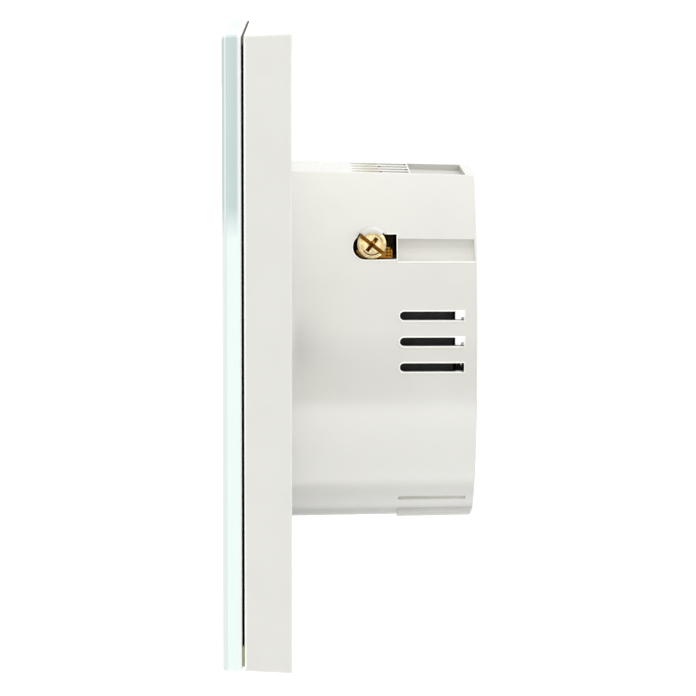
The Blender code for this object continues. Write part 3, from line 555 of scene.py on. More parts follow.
# Darker brasses paint shade: in the screws' drives, in part of their heads' ring, in the clamps' dimples and
# over the clamps
brass = worn_metal("turned_brass", (0.79, 0.65, 0.37), 0.28, 0.26)
brass_slot_painted_shade = worn_metal("brass_slot_painted_shade", (0.8, 0.38, 0.035), 0.4)
deep_shade_brass = worn_metal("brass_painted_deep_shade", (0.19, 0.06, 0.008), 0.5)
clamp_shade_brass = worn_metal("brass_painted_clamp_shade", (0.42, 0.2, 0.035), 0.4)


# -------- electronics
TINNED, TINNED_PALE = (0.6, 0.6, 0.57), (0.75, 0.75, 0.72)
BOARD_GREEN, BOARD_DARK_GREEN = (0.01, 0.085, 0.04), (0.012, 0.07, 0.034)
FERRITE, AMBER_TAPE = (0.05, 0.048, 0.047), (0.5, 0.33, 0.04)
SLEEVE_STRIPE = (0.55, 0.56, 0.58)
HEADER_BODY = 0.00142  # height of the pin header's insulator
SEAM_HALF, SEAM_FADE = 0.008, 0.004  # shares of a case's depth
FINE_TEXTURE = 0.000008  # relief of moulded cases


def circuit_board(name, mask):
    """Green solder mask over copper tracks, with rings of tin round plated holes."""
    recipe = Recipe(name, mask, 0.28)
    dark, light = around(mask, 0.45)
    inputs = {"Vector": recipe.upright(), "Scale": 300.0, "Mortar Size": 0.035, "Brick Width": 0.95,
              "Row Height": 0.32, "Color1": dark, "Color2": mask, "Mortar": light}
    tracks = recipe.node("ShaderNodeTexBrick", inputs, offset=0.37, squash=1.6)
    rings = recipe.mask(recipe.cells(300.0, upright=True, randomness=0.8), 0.09, 0.19)
    rings = recipe.mixed(recipe.mask(recipe.noise(90.0, 1.0), 0.54), BLACK, rings)
    tin = recipe.clouded(800.0, TINNED, TINNED_PALE, span=(0.0, 1.0))
    recipe.colour(recipe.mixed(rings, tracks.outputs["Color"], tin)).metal(rings).polish(500.0, 0.22, 0.36)
    return recipe.bump(tracks.outputs["Fac"], 0.00003).bump(recipe.noise(1500.0), 0.00001).material


def chip_body():
    """Moulded epoxy body whose tinned leads stand in a row at its foot."""
    low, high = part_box("microcontroller")
    recipe = Recipe("chip_epoxy", (0.014, 0.014, 0.015), 0.5)
    body = recipe.clouded(2500.0, (0.01, 0.01, 0.011), (0.02, 0.02, 0.021))
    leads = recipe.mask(recipe.bands(640.0, "DIAGONAL"), 0.5)
    foot = recipe.mask(recipe.height_along("Y", low[1], high[1]), 0.35, first=WHITE)
    share = recipe.mixed(foot, BLACK, leads)
    recipe.colour(recipe.mixed(share, body, TINNED)).metal(share)
    return recipe.bump(recipe.noise(4000.0), FINE_TEXTURE).material


def buzzer_case():
    """A round moulded case with a sound hole in the middle, painted near-black as its shade, and turned
    rings.
    """
    case = (0.016, 0.016, 0.017)
    recipe = Recipe("buzzer_case", case, 0.42)
    across = recipe.reach(*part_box("buzzer"))
    # the hole's near-black is painted shade
    hole, lip = grey(0.002), grey(0.03)
    recipe.colour(recipe.tint(across, [(0.0, hole), (0.18, hole), (0.2, lip), (0.24, case)]))
    recipe.polish(900.0, 0.36, 0.5)
    return recipe.bump(across, 0.00025).bump(recipe.noise(3000.0), FINE_TEXTURE).material


def capacitor_can(node, sleeve):
    """Shrink sleeve with a pale stripe, drawn over a bare aluminium top."""
    low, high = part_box(node)
    recipe = Recipe(node + "_sleeve", sleeve, 0.32)
    top = recipe.mask(recipe.reach(low, high), 0.74, first=WHITE)
    side = recipe.tint(recipe.height_along("X", low[0], high[0]), [(0.0, sleeve), (0.93, SLEEVE_STRIPE)],
                       "CONSTANT")
    metal = recipe.clouded(700.0, (0.62, 0.63, 0.65), (0.74, 0.75, 0.77))
    recipe.colour(recipe.mixed(top, side, metal)).metal(top).polish(1200.0, 0.26, 0.4)
    return recipe.bump(recipe.noise(600.0, stretch=(1.0, 0.2, 1.0)), 0.00006).material


def wound_transformer():
    """Grey ferrite between windings under amber tape."""
    low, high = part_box("transformer")
    recipe = Recipe("ferrite_and_tape", AMBER_TAPE, 0.4)
    along = recipe.tint(recipe.height_along("Z", low[2], high[2]),
                        [(0.0, AMBER_TAPE), (0.09, FERRITE), (0.78, AMBER_TAPE)], "CONSTANT")
    turns = recipe.bands(420.0, "Y", 0.6)
    shade = recipe.tint(turns, [(0.0, grey(0.72)), (0.6, WHITE)])
    recipe.colour(recipe.mixed(1.0, along, shade, "MULTIPLY")).polish(800.0, 0.3, 0.55)
    return recipe.bump(turns, 0.00004).bump(recipe.noise(2000.0), 0.00001).material


def dipped_coat(name, colour):
    """A thick dipped coating with an orange-peel skin."""
    recipe = Recipe(name, colour, 0.36)
    recipe.colour(recipe.clouded(600.0, *around(colour, 0.25), detail=4.0)).polish(500.0, 0.28, 0.48)
    return recipe.bump(recipe.noise(450.0), 0.00008).material


def seamed_case(node, colour, place):
    """A moulded case with a parting line round it and shallow ribs."""
    low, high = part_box(node)
    recipe = Recipe(node + "_case", colour, 0.42)
    dark, light = around(colour, 0.3)
    start, end = place - SEAM_HALF, place + SEAM_HALF
    seam = grey(0.001)
    line = [(0.0, light), (start - SEAM_FADE, light), (start, seam), (end, seam), (end + SEAM_FADE, dark)]
    recipe.colour(recipe.tint(recipe.height_along("Y", low[1], high[1]), line)).polish(1000.0, 0.34, 0.52)
    return recipe.bump(recipe.bands(500.0), 0.00002).bump(recipe.noise(3500.0), FINE_TEXTURE).material


def pins_in_plastic():
    """Black insulator with gold-plated pins standing out of it."""
    low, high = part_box("pin_header")
    recipe = Recipe("header_black_and_gold", grey(0.014), 0.42)
    pins = recipe.mask(recipe.height_along("Y", low[1], high[1]), HEADER_BODY / (high[1] - low[1]))
    plastic = recipe.clouded(1800.0, grey(0.01), grey(0.02))
    gold = recipe.clouded(1500.0, (0.8, 0.58, 0.2), (0.95, 0.74, 0.34))
    recipe.colour(recipe.mixed(pins, plastic, gold)).metal(pins).polish(1600.0, 0.24, 0.42)
    return recipe.bump(recipe.noise(4000.0), FINE_TEXTURE).material


def polariser():
    """The dark filter of the display, with faint streaks."""
    recipe = Recipe("lcd_polariser", (0.01, 0.012, 0.016), 0.1)
    streaks = recipe.clouded(120.0, (0.008, 0.01, 0.014), (0.014, 0.017, 0.022), stretch=(1.0, 1.0, 8.0))
    return recipe.colour(streaks).polish(300.0, 0.07, 0.14).material


def light_guide():
    """Milky acrylic with a pattern of fine dots that spreads the light."""
    recipe = Recipe("light_guide", (0.78, 0.8, 0.83), 0.35)
    dots = recipe.cells(900.0, upright=True, randomness=0.05)
    recipe.colour(recipe.tint(dots, [(0.18, (0.9, 0.91, 0.93)), (0.24, (0.74, 0.76, 0.8))]))
    recipe.set("Roughness", recipe.spread(dots, 0.25, 0.45))
    return recipe.bump(dots, 0.00003).material


def lit_segments():
    """The display's glowing, faintly uneven segments."""
    recipe = Recipe("lcd_segments", (0.85, 0.93, 1.0), 0.5, Emission_Color=(0.75, 0.88, 1.0),
                    Emission_Strength=0.8)
    return recipe.colour(recipe.clouded(900.0, (0.78, 0.88, 0.96), (0.88, 0.95, 1.0), detail=2.0)).material


# -------- rear housing
R_WALL, R_REAR = 0.027, 0.0266  # radius at the wall and at the rear edge
HOUSING_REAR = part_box("base_housing")[1][1] - 0.0002
REAR_ROUND = 0.0003
DRAFT = (R_WALL - R_REAR) / (HOUSING_REAR - REAR_ROUND)
FLAT_TOP = 0.0224  # height of the sloping flat at the rear edge
INSIDE_RADIUS, INSIDE_TOP = 0.02525, 0.0215
INSIDE_FRONT, INSIDE_REAR = 0.0021, HOUSING_REAR - 0.0015
VENT_FRONT, VENT_REAR, VENT_HEIGHT, VENT_PITCH = 0.0147, 0.0237, 0.00128, 0.00355
VENT_Z = {-1: -0.0009, 1: 0.0003}  # middle vent on the left and on the right
OPENING_FRONT, OPENING_REAR, OPENING_WIDTH, OPENING_Z = 0.0083, 0.0145, 0.0034, 0.0131
GROOVE_RADIUS, GROOVE_Z, GROOVE_X = 0.0017, 0.0128, 0.0236
GROOVE_FRONT = OPENING_REAR - 0.0006
HEAD_PLACE, HEAD_CLEAR = (0.011, 0.0135), 0.0022  # Y and Z of a side screw, and the room round it
POCKET_X, POCKET_Y, POCKET_Z = 0.01225, (0.0166, 0.0244), (0.0205, 0.0226)  # the flat's sunk part
CABLE_WINDOW_Z = (-0.0049, 0.003)  # the opening in the rear wall also cuts the left-hand rear edge
RIM, BEAD = 0.00011, REAR_ROUND * 0.8  # radii of the openings' rims and of the rear edge
# The hood over a side screw: X of its crest and foot, radii of its foot, bore and lip, and
# degrees to each side of the top, with those over which its end and its lip run out
HOOD_FRONT, HOOD_FOOT, HOOD_SINK = 0.02434, 0.0216, 0.0003
HOOD_REACH, HOOD_BORE, HOOD_LIP, HOOD_LIP_DEPTH = 0.00242, 0.00204, 0.00165, 0.00014
HOOD_SPAN, HOOD_RUN_OUT, HOOD_LIP_SPAN, HOOD_LIP_RUN_OUT, HOOD_STEPS = 51.0, 8.0, 46.0, 10.0, 56
HOOD_CREASE = math.radians(50)
CLOSE, FACING = 0.0001, 0.995  # distance and cosine within which a face belongs to the round wall


def radius_at(y):
    return R_WALL - DRAFT * y


def wall_normal(place):
    return Vector((place.x, DRAFT * math.hypot(place.x, place.z), place.z)).normalized()


def wall_point(side, y, z):
    """A point on the round wall of the housing, on the right (+1) or left (-1) side."""
    return Vector((side * math.sqrt(max(radius_at(y) ** 2 - z * z, 0.0)), y, z))


def on_round_wall(polygon):
    centre = polygon.center
    spread = math.hypot(centre.x, centre.z)
    return (spread > CLOSE and centre.y > 0.0 and abs(spread - radius_at(centre.y)) < CLOSE
            and polygon.normal.dot(wall_normal(centre)) > FACING)


def housing_slot(polygon):
    """Material slot of a face: 0 outside, 1 inside, painted near-black as shade, 2 in the flat's sunk part,
    painted darker as shade, 3 in a groove.
    """
    centre = polygon.center
    from_groove = math.hypot(abs(centre.x) - GROOVE_X, centre.z - GROOVE_Z)
    in_groove = centre.y > GROOVE_FRONT and from_groove < GROOVE_RADIUS + 2 * CLOSE
    if in_groove and not on_round_wall(polygon):
        return 3
    if (abs(centre.x) < POCKET_X and POCKET_Y[0] < centre.y < POCKET_Y[1]
            and POCKET_Z[0] < centre.z < POCKET_Z[1]):
        return 2
    inside = (math.hypot(centre.x, centre.z) < INSIDE_RADIUS and INSIDE_FRONT < centre.y < INSIDE_REAR
              and centre.z < INSIDE_TOP)
    return int(inside and not in_groove and not on_round_wall(polygon))


def make_housing():
    """The CAD shell with true round normals on its wall and an inside painted near-black as shade."""
    mesh = NODES["base_housing"].data.copy()
    mesh.name = "housing"
    normals = [Vector(corner.vector) for corner in mesh.corner_normals]
    for polygon in mesh.polygons:
        if on_round_wall(polygon):
            for index in polygon.loop_indices:
                normals[index] = wall_normal(mesh.vertices[mesh.loops[index].vertex_index].co)
        polygon.material_index = housing_slot(polygon)
    mesh.normals_split_custom_set(normals)
    finish_piece("housing", mesh, [ivory, painted_shade_black, recess_ivory_painted_shade, groove_ivory], "base",
                 ["base_housing"])


def hood_section(away):
    """Points (radius, X) round a cut through a hood, a number of degrees away from its top."""
    lip = HOOD_BORE - (HOOD_BORE - HOOD_LIP) * ease((HOOD_LIP_SPAN - away) / HOOD_LIP_RUN_OUT)
    bulge = ease((HOOD_SPAN - away) / HOOD_RUN_OUT)
    crest = HOOD_FOOT + (HOOD_FRONT - HOOD_FOOT) * bulge
    under, sunk = crest - HOOD_LIP_DEPTH, HOOD_FOOT - HOOD_SINK
    return [(lip, under), (lip + 0.00002, crest - 0.00004), (lip + 0.0001, crest),
            (HOOD_BORE + 0.00008, crest), (HOOD_BORE + 0.00018, crest - 0.0001 * bulge),
            (HOOD_BORE + 0.00026, crest - 0.00045 * bulge), (HOOD_REACH, sunk), (HOOD_BORE, sunk),
            (HOOD_BORE, under)]


def make_hoods():
    """A moulded hood over each side screw, whose lip covers the top of the screw's head."""
    head_y, head_z = HEAD_PLACE
    for side, word in ((1, "right"), (-1, "left")):
        outlines = []
        for step in range(HOOD_STEPS + 1):
            away = HOOD_SPAN * (2.0 * step / HOOD_STEPS - 1.0)
            turn = math.radians(away)
            outlines.append([(side * x, head_y + radius * math.sin(turn), head_z + radius * math.cos(turn))
                             for radius, x in hood_section(abs(away))])
        mesh = lofted_mesh(f"screw_hood_{word}", outlines)
        mesh.shade_smooth()
        mesh.set_sharp_from_angle(angle=HOOD_CREASE)
        finish_piece(mesh.name, mesh, [ivory], "base")


def opening_path(side, front, rear, middle, width):
    """Points along the rim of a side opening with a round front end."""
    radius, steps = width / 2, 6
    start = front + radius
    lower = [(start + (rear - start) * step / steps, middle - radius) for step in range(1, steps + 1)]
    upper = [(y, middle + radius) for y, _ in reversed(lower)]
    return [wall_point(side, y, z) for y, z in arc(start, middle, radius, 90, 270, 14) + lower + upper]


def make_rims():
    """The rounded edges of the openings and grooves, in a lighter ivory that paints their highlight."""
    vents, openings, grooves = [], [], []
    for side in (-1, 1):
        for row in (1, 0, -1):
            vents.append(opening_path(side, VENT_FRONT, VENT_REAR, VENT_Z[side] + VENT_PITCH * row,
                                      VENT_HEIGHT + RIM))
        path = opening_path(side, OPENING_FRONT, OPENING_REAR, OPENING_Z, OPENING_WIDTH + RIM)
        openings.append([point for point in path
                         if math.hypot(point.y - HEAD_PLACE[0], point.z - HEAD_PLACE[1]) > HEAD_CLEAR])
        run, steps = HOUSING_REAR - REAR_ROUND - OPENING_REAR, 8
        grooves.append([wall_point(side, OPENING_REAR + run * step / steps, GROOVE_Z - GROOVE_RADIUS * 1.02)
                        for step in range(steps + 1)])
    tubes("vent_rims", vents, RIM, highlight_ivory, "base")
    tubes("opening_rims", openings, RIM, highlight_ivory, "base", closed=False)
    tubes("groove_edges", grooves, RIM * 0.9, highlight_ivory, "base", closed=False)


def make_rear_edge():
    """The rounded rear edge of the wall, in two runs from the flat to the cable window."""
    radius = R_REAR - BEAD * 0.9
    reach = math.degrees(math.asin((FLAT_TOP - BEAD) / radius))
    low, high = (180 - math.degrees(math.asin(z / radius)) for z in reversed(CABLE_WINDOW_Z))
    runs = [arc(0.0, 0.0, radius, 180 - reach, low, 12), arc(0.0, 0.0, radius, high, 360 + reach, 150)]
    tubes("rear_edge", [[(x, HOUSING_REAR - BEAD, z) for x, z in run] for run in runs], BEAD, ivory, "base",
          closed=False)


# -------- glass and cover edges
GLASS_LOW, GLASS_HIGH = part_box("glass_panel")
GLASS_HALF, GLASS_CORNER = GLASS_HIGH[0], 0.0003
# How far each outline of the pane lies behind its front face and inside its side
GLASS_SECTIONS = ((0.0, 0.00045), (0.0003, 0.00006), (0.00048, 0.0), (0.00216, 0.0), (0.00242, 0.00014),
                  (0.00254, 0.00034))
PANE_BACK = GLASS_LOW[1] + GLASS_SECTIONS[-1][0]
COVER_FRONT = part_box("front_cover")[0][1]
COVER_HALF, COVER_BEAD, COVER_CORNER = 0.0854 / 2, 0.00013, 0.0003
TAPE_INSET, TAPE_INNER = 0.00035, 0.0037  # outer and inner edge of the tape, inside the pane's side
TAPE_ENDS = (0.0007, 0.0003)  # how far it stays inside the pane's lower and upper edge
TAPE_PALE = (0.0036, 0.0014)  # and how far its olive ends reach
TAPE_GAP, TAPE_CLEAR = 0.00007, 0.00001  # in front of it and behind it


def make_glass():
    """The pane: clear faces, ground sides and polished bevels along its front and back edges."""
    mesh = lofted_mesh("glass_pane", [upright_square(GLASS_HALF - inset, GLASS_LOW[1] + depth, GLASS_CORNER)
                                      for depth, inset in GLASS_SECTIONS])
    for polygon in mesh.polygons:
        polygon.material_index = int(len(polygon.vertices) == 4)
    finish_piece("glass_pane", mesh, [clear_glass(), glass_edge_painted_reflection()], "front_panel", ["glass_panel"])


def make_panel_edges():
    """The cover's rounded front edge, with a painted highlight, and the sealing tape between it and the pane,
    with painted shade.
    """
    path = upright_square(COVER_HALF - COVER_BEAD * 0.6, COVER_FRONT + COVER_BEAD * 1.2, COVER_CORNER)
    # the cover's front edge takes the lighter ivory as a painted highlight
    tubes("cover_front_edge", [path], COVER_BEAD, highlight_ivory, "front_panel")
    outer, inner = GLASS_HALF - TAPE_INSET, GLASS_HALF - TAPE_INNER
    outline = rectangle(-outer, -GLASS_HALF + TAPE_ENDS[0], outer, GLASS_HALF - TAPE_ENDS[1])
    front = PANE_BACK + TAPE_GAP
    sheet("seal_tape_painted_shade", [outline, rectangle(-inner, -inner, inner, inner)], front,
          COVER_FRONT - front - TAPE_CLEAR, sealing_tape_painted_shade(), "front_panel")


# -------- print and touch keys
# Distance behind the pane and thickness of the white print, its dark backing, a sheet of painted shade, and
# the icons
PRINT_LAYER, BACKING_LAYER, ICON_LAYER = (0.00001, 0.00002), (0.00004, 0.00002), (0.000002, 0.000006)
PRINT_INSET, WINDOW_INSET = 0.00036, 0.0006
KEY_ICONS, KEY_PITCH, KEY_Z = ("power", "menu", "down", "up", "clock"), 0.014, -0.025
ICON_RADIUS, ICON_LINE = 0.0021, 0.0004
MENU_PITCH = 0.0011
HAND_ACROSS, HAND_UP = 0.0012, 0.0014  # lengths of the clock's hands
CHEVRON_TIP, CHEVRON_FOOT, CHEVRON_HALF = 0.0013, 0.0009, 0.002
CHEVRON_LINE = (0.0006, 0.0001, 0.0007)  # across and along at its feet, and along at its tip


def icon_loops(kind, x, z):
    """Plain outline icons for the touch keys."""
    outer, inner, half = ICON_RADIUS, ICON_RADIUS - ICON_LINE, ICON_LINE / 2
    if kind == "power":
        arcs = arc(x, z, outer, 120, 420, 20) + arc(x, z, inner, 420, 120, 20)
        return [arcs, rectangle(x - half, z + ICON_LINE, x + half, z + outer + ICON_LINE)]
    if kind == "menu":
        rows = [z + row * MENU_PITCH for row in (-1, 0, 1)]
        return [rectangle(x - outer, row - half, x + outer, row + half) for row in rows]
    if kind == "clock":
        hands = [(x - half, z - half), (x + HAND_ACROSS, z - half), (x + HAND_ACROSS, z + half),
                 (x + half, z + half), (x + half, z + HAND_UP), (x - half, z + HAND_UP)]
        return [ring(x, z, outer, 28), ring(x, z, inner, 28), hands]
    lean = 1 if kind == "up" else -1
    tip, foot, wide = z + lean * CHEVRON_TIP, z - lean * CHEVRON_FOOT, CHEVRON_HALF
    narrow, end, notch = wide - CHEVRON_LINE[0], foot - lean * CHEVRON_LINE[1], tip - lean * CHEVRON_LINE[2]
    return [[(x - wide, foot), (x, tip), (x + wide, foot), (x + narrow, end), (x, notch), (x - narrow, end)]]


def make_glass_print():
    """White print on the back of the glass, with a clear window and five touch icons."""
    half = GLASS_HALF - PRINT_INSET
    window = rectangle(LCD_LOW[0] + WINDOW_INSET, LCD_LOW[2] + WINDOW_INSET,
                       LCD_HIGH[0] - WINDOW_INSET, LCD_HIGH[2] - WINDOW_INSET)
    border = [rectangle(-half, -half, half, half), window]
    icons = [loop for index, kind in enumerate(KEY_ICONS)
             for loop in icon_loops(kind, KEY_PITCH * (index - 2), KEY_Z)]
    ink = moulded_plastic("icon_ink", (0.1, 0.11, 0.12), 0.4)
    # the dark backing is painted shade behind the print
    for name, loops, (gap, thickness), material in (
            ("glass_print", border, PRINT_LAYER, print_white),
            ("glass_backing_painted_shade", border, BACKING_LAYER, painted_shade_black), ("key_icons", icons, ICON_LAYER, ink)):
        sheet(name, loops, PANE_BACK + gap, thickness, material, "front_panel")


# -------- display
LCD_LOW, LCD_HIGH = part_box("lcd_module")
LCD_MIDDLE = (LCD_LOW[2] + LCD_HIGH[2]) / 2
SEGMENT_GAP, SEGMENT_THICKNESS = 0.00005, 0.00004  # in front of the module
# Left and bottom (from the middle), width, height and bar of each digit
DIGITS = (("2", -0.0165, -0.0075, 0.009, 0.015, 0.0014), ("2", -0.005, -0.0075, 0.009, 0.015, 0.0014),
          ("5", 0.0085, -0.0075, 0.005, 0.0085, 0.0009))
POINT_PLACE, POINT_RADIUS = (0.0066, -0.007), 0.0006
DEGREE_PLACE, DEGREE_RADII = (0.0165, 0.0058), (0.0014, 0.0009)
SCALE_TICKS, SCALE_HALF, SCALE_FOOT, SCALE_TOP, TICK_HALF = 24, 0.019, -0.0125, -0.0112, 0.0003
SEGMENTS_OF = {"2": "abged", "5": "afgcd"}


def digit_strokes(character, left, bottom, width, height, bar):
    """Seven-segment strokes of one digit, as bars with pointed ends."""
    gap, half = bar * 0.18, bar / 2
    near, far = left + half, left + width - half
    low, middle, high = bottom + half, bottom + height / 2, bottom + height - half
    bars = {"a": (near, high, far, high), "g": (near, middle, far, middle), "d": (near, low, far, low),
            "f": (near, middle, near, high), "b": (far, middle, far, high), "e": (near, low, near, middle),
            "c": (far, low, far, middle)}
    loops = []
    for key in SEGMENTS_OF[character]:
        x1, z1, x2, z2 = bars[key]
        if x1 == x2:
            z1, z2 = z1 + gap, z2 - gap
            loops.append([(x1 - half, z1 + half), (x1, z1), (x1 + half, z1 + half),
                          (x1 + half, z2 - half), (x1, z2), (x1 - half, z2 - half)])
        else:
            x1, x2 = x1 + gap, x2 - gap
            loops.append([(x1 + half, z1 - half), (x2 - half, z1 - half), (x2, z1),
                          (x2 - half, z1 + half), (x1 + half, z1 + half), (x1, z1)])
    return loops


def make_display():
    """A temperature in lit segments, its degree sign and a row of ticks."""
    digits = [stroke for character, left, bottom, *size in DIGITS
              for stroke in digit_strokes(character, left, LCD_MIDDLE + bottom, *size)]
    digits.append(ring(POINT_PLACE[0], LCD_MIDDLE + POINT_PLACE[1], POINT_RADIUS, 12))
    degree = [ring(DEGREE_PLACE[0], LCD_MIDDLE + DEGREE_PLACE[1], radius, 24) for radius in DEGREE_RADII]
    middles = [-SCALE_HALF + 2 * SCALE_HALF * step / (SCALE_TICKS - 1) for step in range(SCALE_TICKS)]
    ticks = [rectangle(x - TICK_HALF, LCD_MIDDLE + SCALE_FOOT, x + TICK_HALF, LCD_MIDDLE + SCALE_TOP)
             for x in middles]
    lit = lit_segments()
    for name, loops in (("lcd_digits", digits), ("lcd_degree", degree), ("lcd_scale", ticks)):
        sheet(name, loops, LCD_LOW[1] - SEGMENT_GAP, SEGMENT_THICKNESS, lit, "front_panel")


# -------- terminals
HEAD_RADIUS, HEAD_DEPTH, SHANK_RADIUS, SCREW_END = 0.002, 0.0014, 0.0012, 0.0069
CORE_RADIUS, TIP_RADIUS = SHANK_RADIUS * 0.86, SHANK_RADIUS * 0.7
THREAD_START, THREAD_PITCH, HEAD_CHAMFER = 0.0006, 0.00045, 0.0001
# Distance inside the head's side and below its face: rounded edge, turned ring and flat middle
HEAD_FACE = ((0.0, 0.00022), (0.0001, 0.00006), (0.00028, 0.0), (0.00048, 0.00002), (0.00056, 0.00012),
             (0.00064, 0.00002), (0.0008, 0.0))
RING_INSET, RING_HALF, RING_DEPTH = 0.00058, 0.00009, 0.00016
RING_SHADE = 0.55  # cosine of the angle out to which the ring gets darker painted shade
DRIVE_WIDTH, DRIVE_DEPTH, DRIVE_CROSS, DRIVE_ANGLE = 0.00054, 0.0006, 0.0023, math.radians(52)
DRIVE_SINK, DRIVE_LAP = 0.0002, 0.0002  # half of the cross is deeper, a little past the middle
# Depth below which the drive gets the darker painted shade
DEEP_SHADE_START = DRIVE_DEPTH + 0.00004
SLOT_HALF, TOOL_RISE = 0.003, 0.001  # the cutting tools stick out past the head
SCREW_BEVEL, CLAMP_BEVEL = 0.00004, 0.00005
TONGUE_NEAR, TONGUE_REACH, TONGUE_CORNER = 0.0005, 0.00285, 0.0006
CLAMP_START = 66  # degrees below the straight edge's side where the round part begins
CLAMP_RADIUS, CLAMP_BACK, CLAMP_EDGE, CLAMP_HOLE = 0.00235, 0.002, 0.00195, 0.0015
CLAMP_TOP, CLAMP_DEPTH = 0.0017, 0.0009
DIMPLE_RADIUS, DIMPLE_DEPTH, DIMPLE_RISE = 0.00018, 0.00022, 0.0003
DIMPLE_PLACE, DIMPLE_PITCH = (0.0008, 0.0021, 0.00001), (0.00042, 0.00045)
DIMPLED_X, DIMPLED_Y = (0.0005, 0.0018), 0.0018
SKIN = 0.00003  # a face further than this below a surface belongs to a hollow


def make_screw_mesh():
    """A combination-head screw with a turned groove round its face and a threaded shank."""
    thread, z = [], THREAD_START - SCREW_END
    while z < -HEAD_DEPTH - THREAD_PITCH:
        thread += [(CORE_RADIUS, z), (SHANK_RADIUS, z + THREAD_PITCH * 0.4),
                   (SHANK_RADIUS, z + THREAD_PITCH * 0.6)]
        z += THREAD_PITCH
    profile = [(0.0, -SCREW_END), (TIP_RADIUS, -SCREW_END), *thread,
               (CORE_RADIUS, -HEAD_DEPTH - HEAD_CHAMFER), (SHANK_RADIUS, -HEAD_DEPTH),
               (HEAD_RADIUS - HEAD_CHAMFER, -HEAD_DEPTH), (HEAD_RADIUS, -HEAD_DEPTH + HEAD_CHAMFER),
               *((HEAD_RADIUS - inset, -depth) for inset, depth in HEAD_FACE), (0.0, 0.0)]
    half, reach, floor = DRIVE_WIDTH / 2, DRIVE_CROSS / 2, -DRIVE_DEPTH
    tools = [box_mesh("drive_tool", low, high, DRIVE_ANGLE) for low, high in (
        ((-SLOT_HALF, -half, floor), (SLOT_HALF, half, TOOL_RISE)),
        ((-half, -reach, floor - DRIVE_SINK), (half, DRIVE_LAP, TOOL_RISE)),
        ((-half, 0.0, floor), (half, reach, TOOL_RISE)))]
    mesh = cut(turned_mesh("terminal_screw", profile, 72), tools, SCREW_BEVEL)
    for polygon in mesh.polygons:
        polygon.material_index = screw_slot(polygon.center)
    return mesh


def screw_slot(centre):
    """Material slot of a screw's face: 0 polished, 1 in the drive, 2 deeper in the drive and in part of the
    ring; 1 and 2 are painted shade.
    """
    spread = math.hypot(centre.x, centre.y)
    in_ring = abs(spread - HEAD_RADIUS + RING_INSET) < RING_HALF and centre.z > -RING_DEPTH
    if in_ring and centre.x > spread * RING_SHADE:
        return 2
    sunk = -HEAD_DEPTH + HEAD_CHAMFER < centre.z < -RING_DEPTH and spread < HEAD_RADIUS - SKIN
    return int(sunk) + int(sunk and centre.z < -DEEP_SHADE_START)


def make_clamp_mesh(tongue):
    """A clamping plate, darker brass as painted shade, whose tongue, on the right (+1) or left (-1), has rows
    of dimples in still darker painted shade.
    """
    edge = math.degrees(math.acos(CLAMP_EDGE / CLAMP_RADIUS))
    near = math.degrees(math.acos(TONGUE_NEAR / CLAMP_BACK))
    points = arc(0, 0, CLAMP_RADIUS, -CLAMP_START, -edge, 8) + [(CLAMP_EDGE, TONGUE_REACH)]
    points += arc(TONGUE_NEAR + TONGUE_CORNER, TONGUE_REACH - TONGUE_CORNER, TONGUE_CORNER, 90, 180, 6)
    points += arc(0, 0, CLAMP_BACK, near, 360 - CLAMP_START, 24)
    outline = [(tongue * x, y) for x, y in points]
    mesh = plate_mesh("clamp_plate", [outline, ring(0, 0, CLAMP_HOLE, 28)], CLAMP_DEPTH)
    mesh.transform(Matrix.Translation((0, 0, -CLAMP_TOP - CLAMP_DEPTH / 2)))
    profile = [(0.0, -DIMPLE_DEPTH), (DIMPLE_RADIUS, 0.0), (DIMPLE_RADIUS, DIMPLE_RISE), (0.0, DIMPLE_RISE)]
    dimples = []
    for row in range(3):
        for column in range(2):
            x, y = (DIMPLE_PLACE[0] + DIMPLE_PITCH[0] * row, DIMPLE_PLACE[1] + DIMPLE_PITCH[1] * column)
            dimple = turned_mesh("dimple", profile, 10)
            dimple.transform(Matrix.Translation((tongue * x, y, DIMPLE_PLACE[2] - CLAMP_TOP)))
            dimples.append(dimple)
    mesh = cut(mesh, dimples, CLAMP_BEVEL)
    for polygon in mesh.polygons:
        x, y, depth = tongue * polygon.center.x, polygon.center.y, -CLAMP_TOP - polygon.center.z
        on_tongue = y > DIMPLED_Y and DIMPLED_X[0] < x < DIMPLED_X[1]
        polygon.material_index = int(on_tongue and SKIN < depth < CLAMP_DEPTH / 2)
    return mesh


def terminal_places():
    """Number, matrix from the screw's own frame (Z out along it) and tongue side of each terminal."""
    places = []
    for number, side in enumerate((0, 0, 0, 0, 1, -1), 1):
        low, high = (Vector(corner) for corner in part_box(f"terminal_screw_{number}"))
        middle = (low + high) / 2
        if side:
            middle.x = high.x if side > 0 else low.x
        else:
            middle.z = high.z
        turn = Matrix.Rotation(side * math.pi / 2, 4, "Y")
        places.append((number, Matrix.Translation(middle) @ turn, side or 1))
    return places


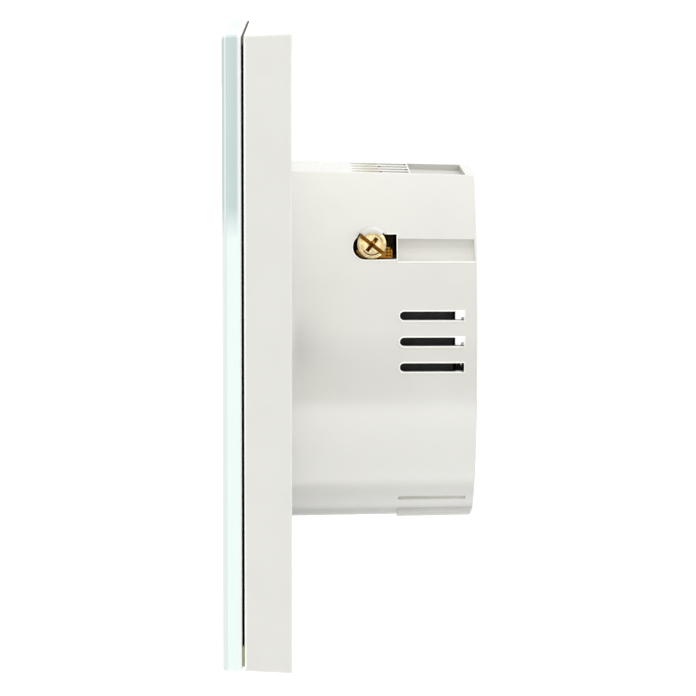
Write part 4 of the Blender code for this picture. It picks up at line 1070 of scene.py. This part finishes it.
def make_terminals():
    screw = make_screw_mesh()
    clamps = {tongue: make_clamp_mesh(tongue) for tongue in (-1, 1)}
    for number, place, tongue in terminal_places():
        for kind, source, cad_name, materials in (
                ("screw", screw, "terminal_screw", [brass, brass_slot_painted_shade, deep_shade_brass]),
                ("clamp", clamps[tongue], "clamp_plate", [clamp_shade_brass, deep_shade_brass])):
            mesh = source.copy()
            mesh.transform(place)
            finish_piece(f"{kind}_{number}", mesh, materials, f"{kind}_{number}", [f"{cad_name}_{number}"])


# -------- assembly
make_camera()
make_world()
make_floor()
make_low_panels()
make_housing()
make_rims()
make_hoods()
make_rear_edge()
make_glass()
make_glass_print()
make_display()
make_panel_edges()
make_terminals()

INNER_MATERIALS = {
    "front_cover": cover_ivory,
    "inner_cover": moulded_plastic("inner_cover_ivory", (0.62, 0.615, 0.58), 0.3, 0.000004),
    "panel_gasket": foam,
    "lcd_module": polariser(),
    "lcd_backlight": light_guide(),
    "control_board": circuit_board("control_board_laminate", BOARD_GREEN),
    "power_board": circuit_board("power_board_laminate", BOARD_DARK_GREEN),
    "microcontroller": chip_body(),
    "buzzer": buzzer_case(),
    "room_sensor": dipped_coat("sensor_bead", (0.035, 0.035, 0.04)),
    "pin_header": pins_in_plastic(),
    "header_socket": moulded_plastic("socket_black", grey(0.014), 0.42, 0.000006),
    "cover_screw": worn_metal("zinc_plate", (0.62, 0.64, 0.66), 0.26, 0.1),
    "touch_spring": worn_metal("spring_steel", (0.56, 0.56, 0.58), 0.24, 0.08),
    "relay": seamed_case("relay", (0.02, 0.02, 0.022), 0.12),
    "transformer": wound_transformer(),
    "filter_capacitor": capacitor_can("filter_capacitor", (0.018, 0.026, 0.055)),
    "supply_capacitor": capacitor_can("supply_capacitor", (0.02, 0.02, 0.021)),
    "varistor": dipped_coat("varistor_blue", (0.02, 0.1, 0.34)),
    "fuse": seamed_case("fuse", (0.15, 0.05, 0.022), 0.2),
    # near-black brass: painted shade on the terminal blocks
    "terminal_block": worn_metal("block_brass_painted_shade", (0.035, 0.028, 0.018), 0.55),
}
for name, node in NODES.items():
    kind = name if name in INNER_MATERIALS else name.rstrip("0123456789").rstrip("_")
    node.data.materials.clear()
    node.data.materials.append(INNER_MATERIALS.get(kind, cover_ivory))
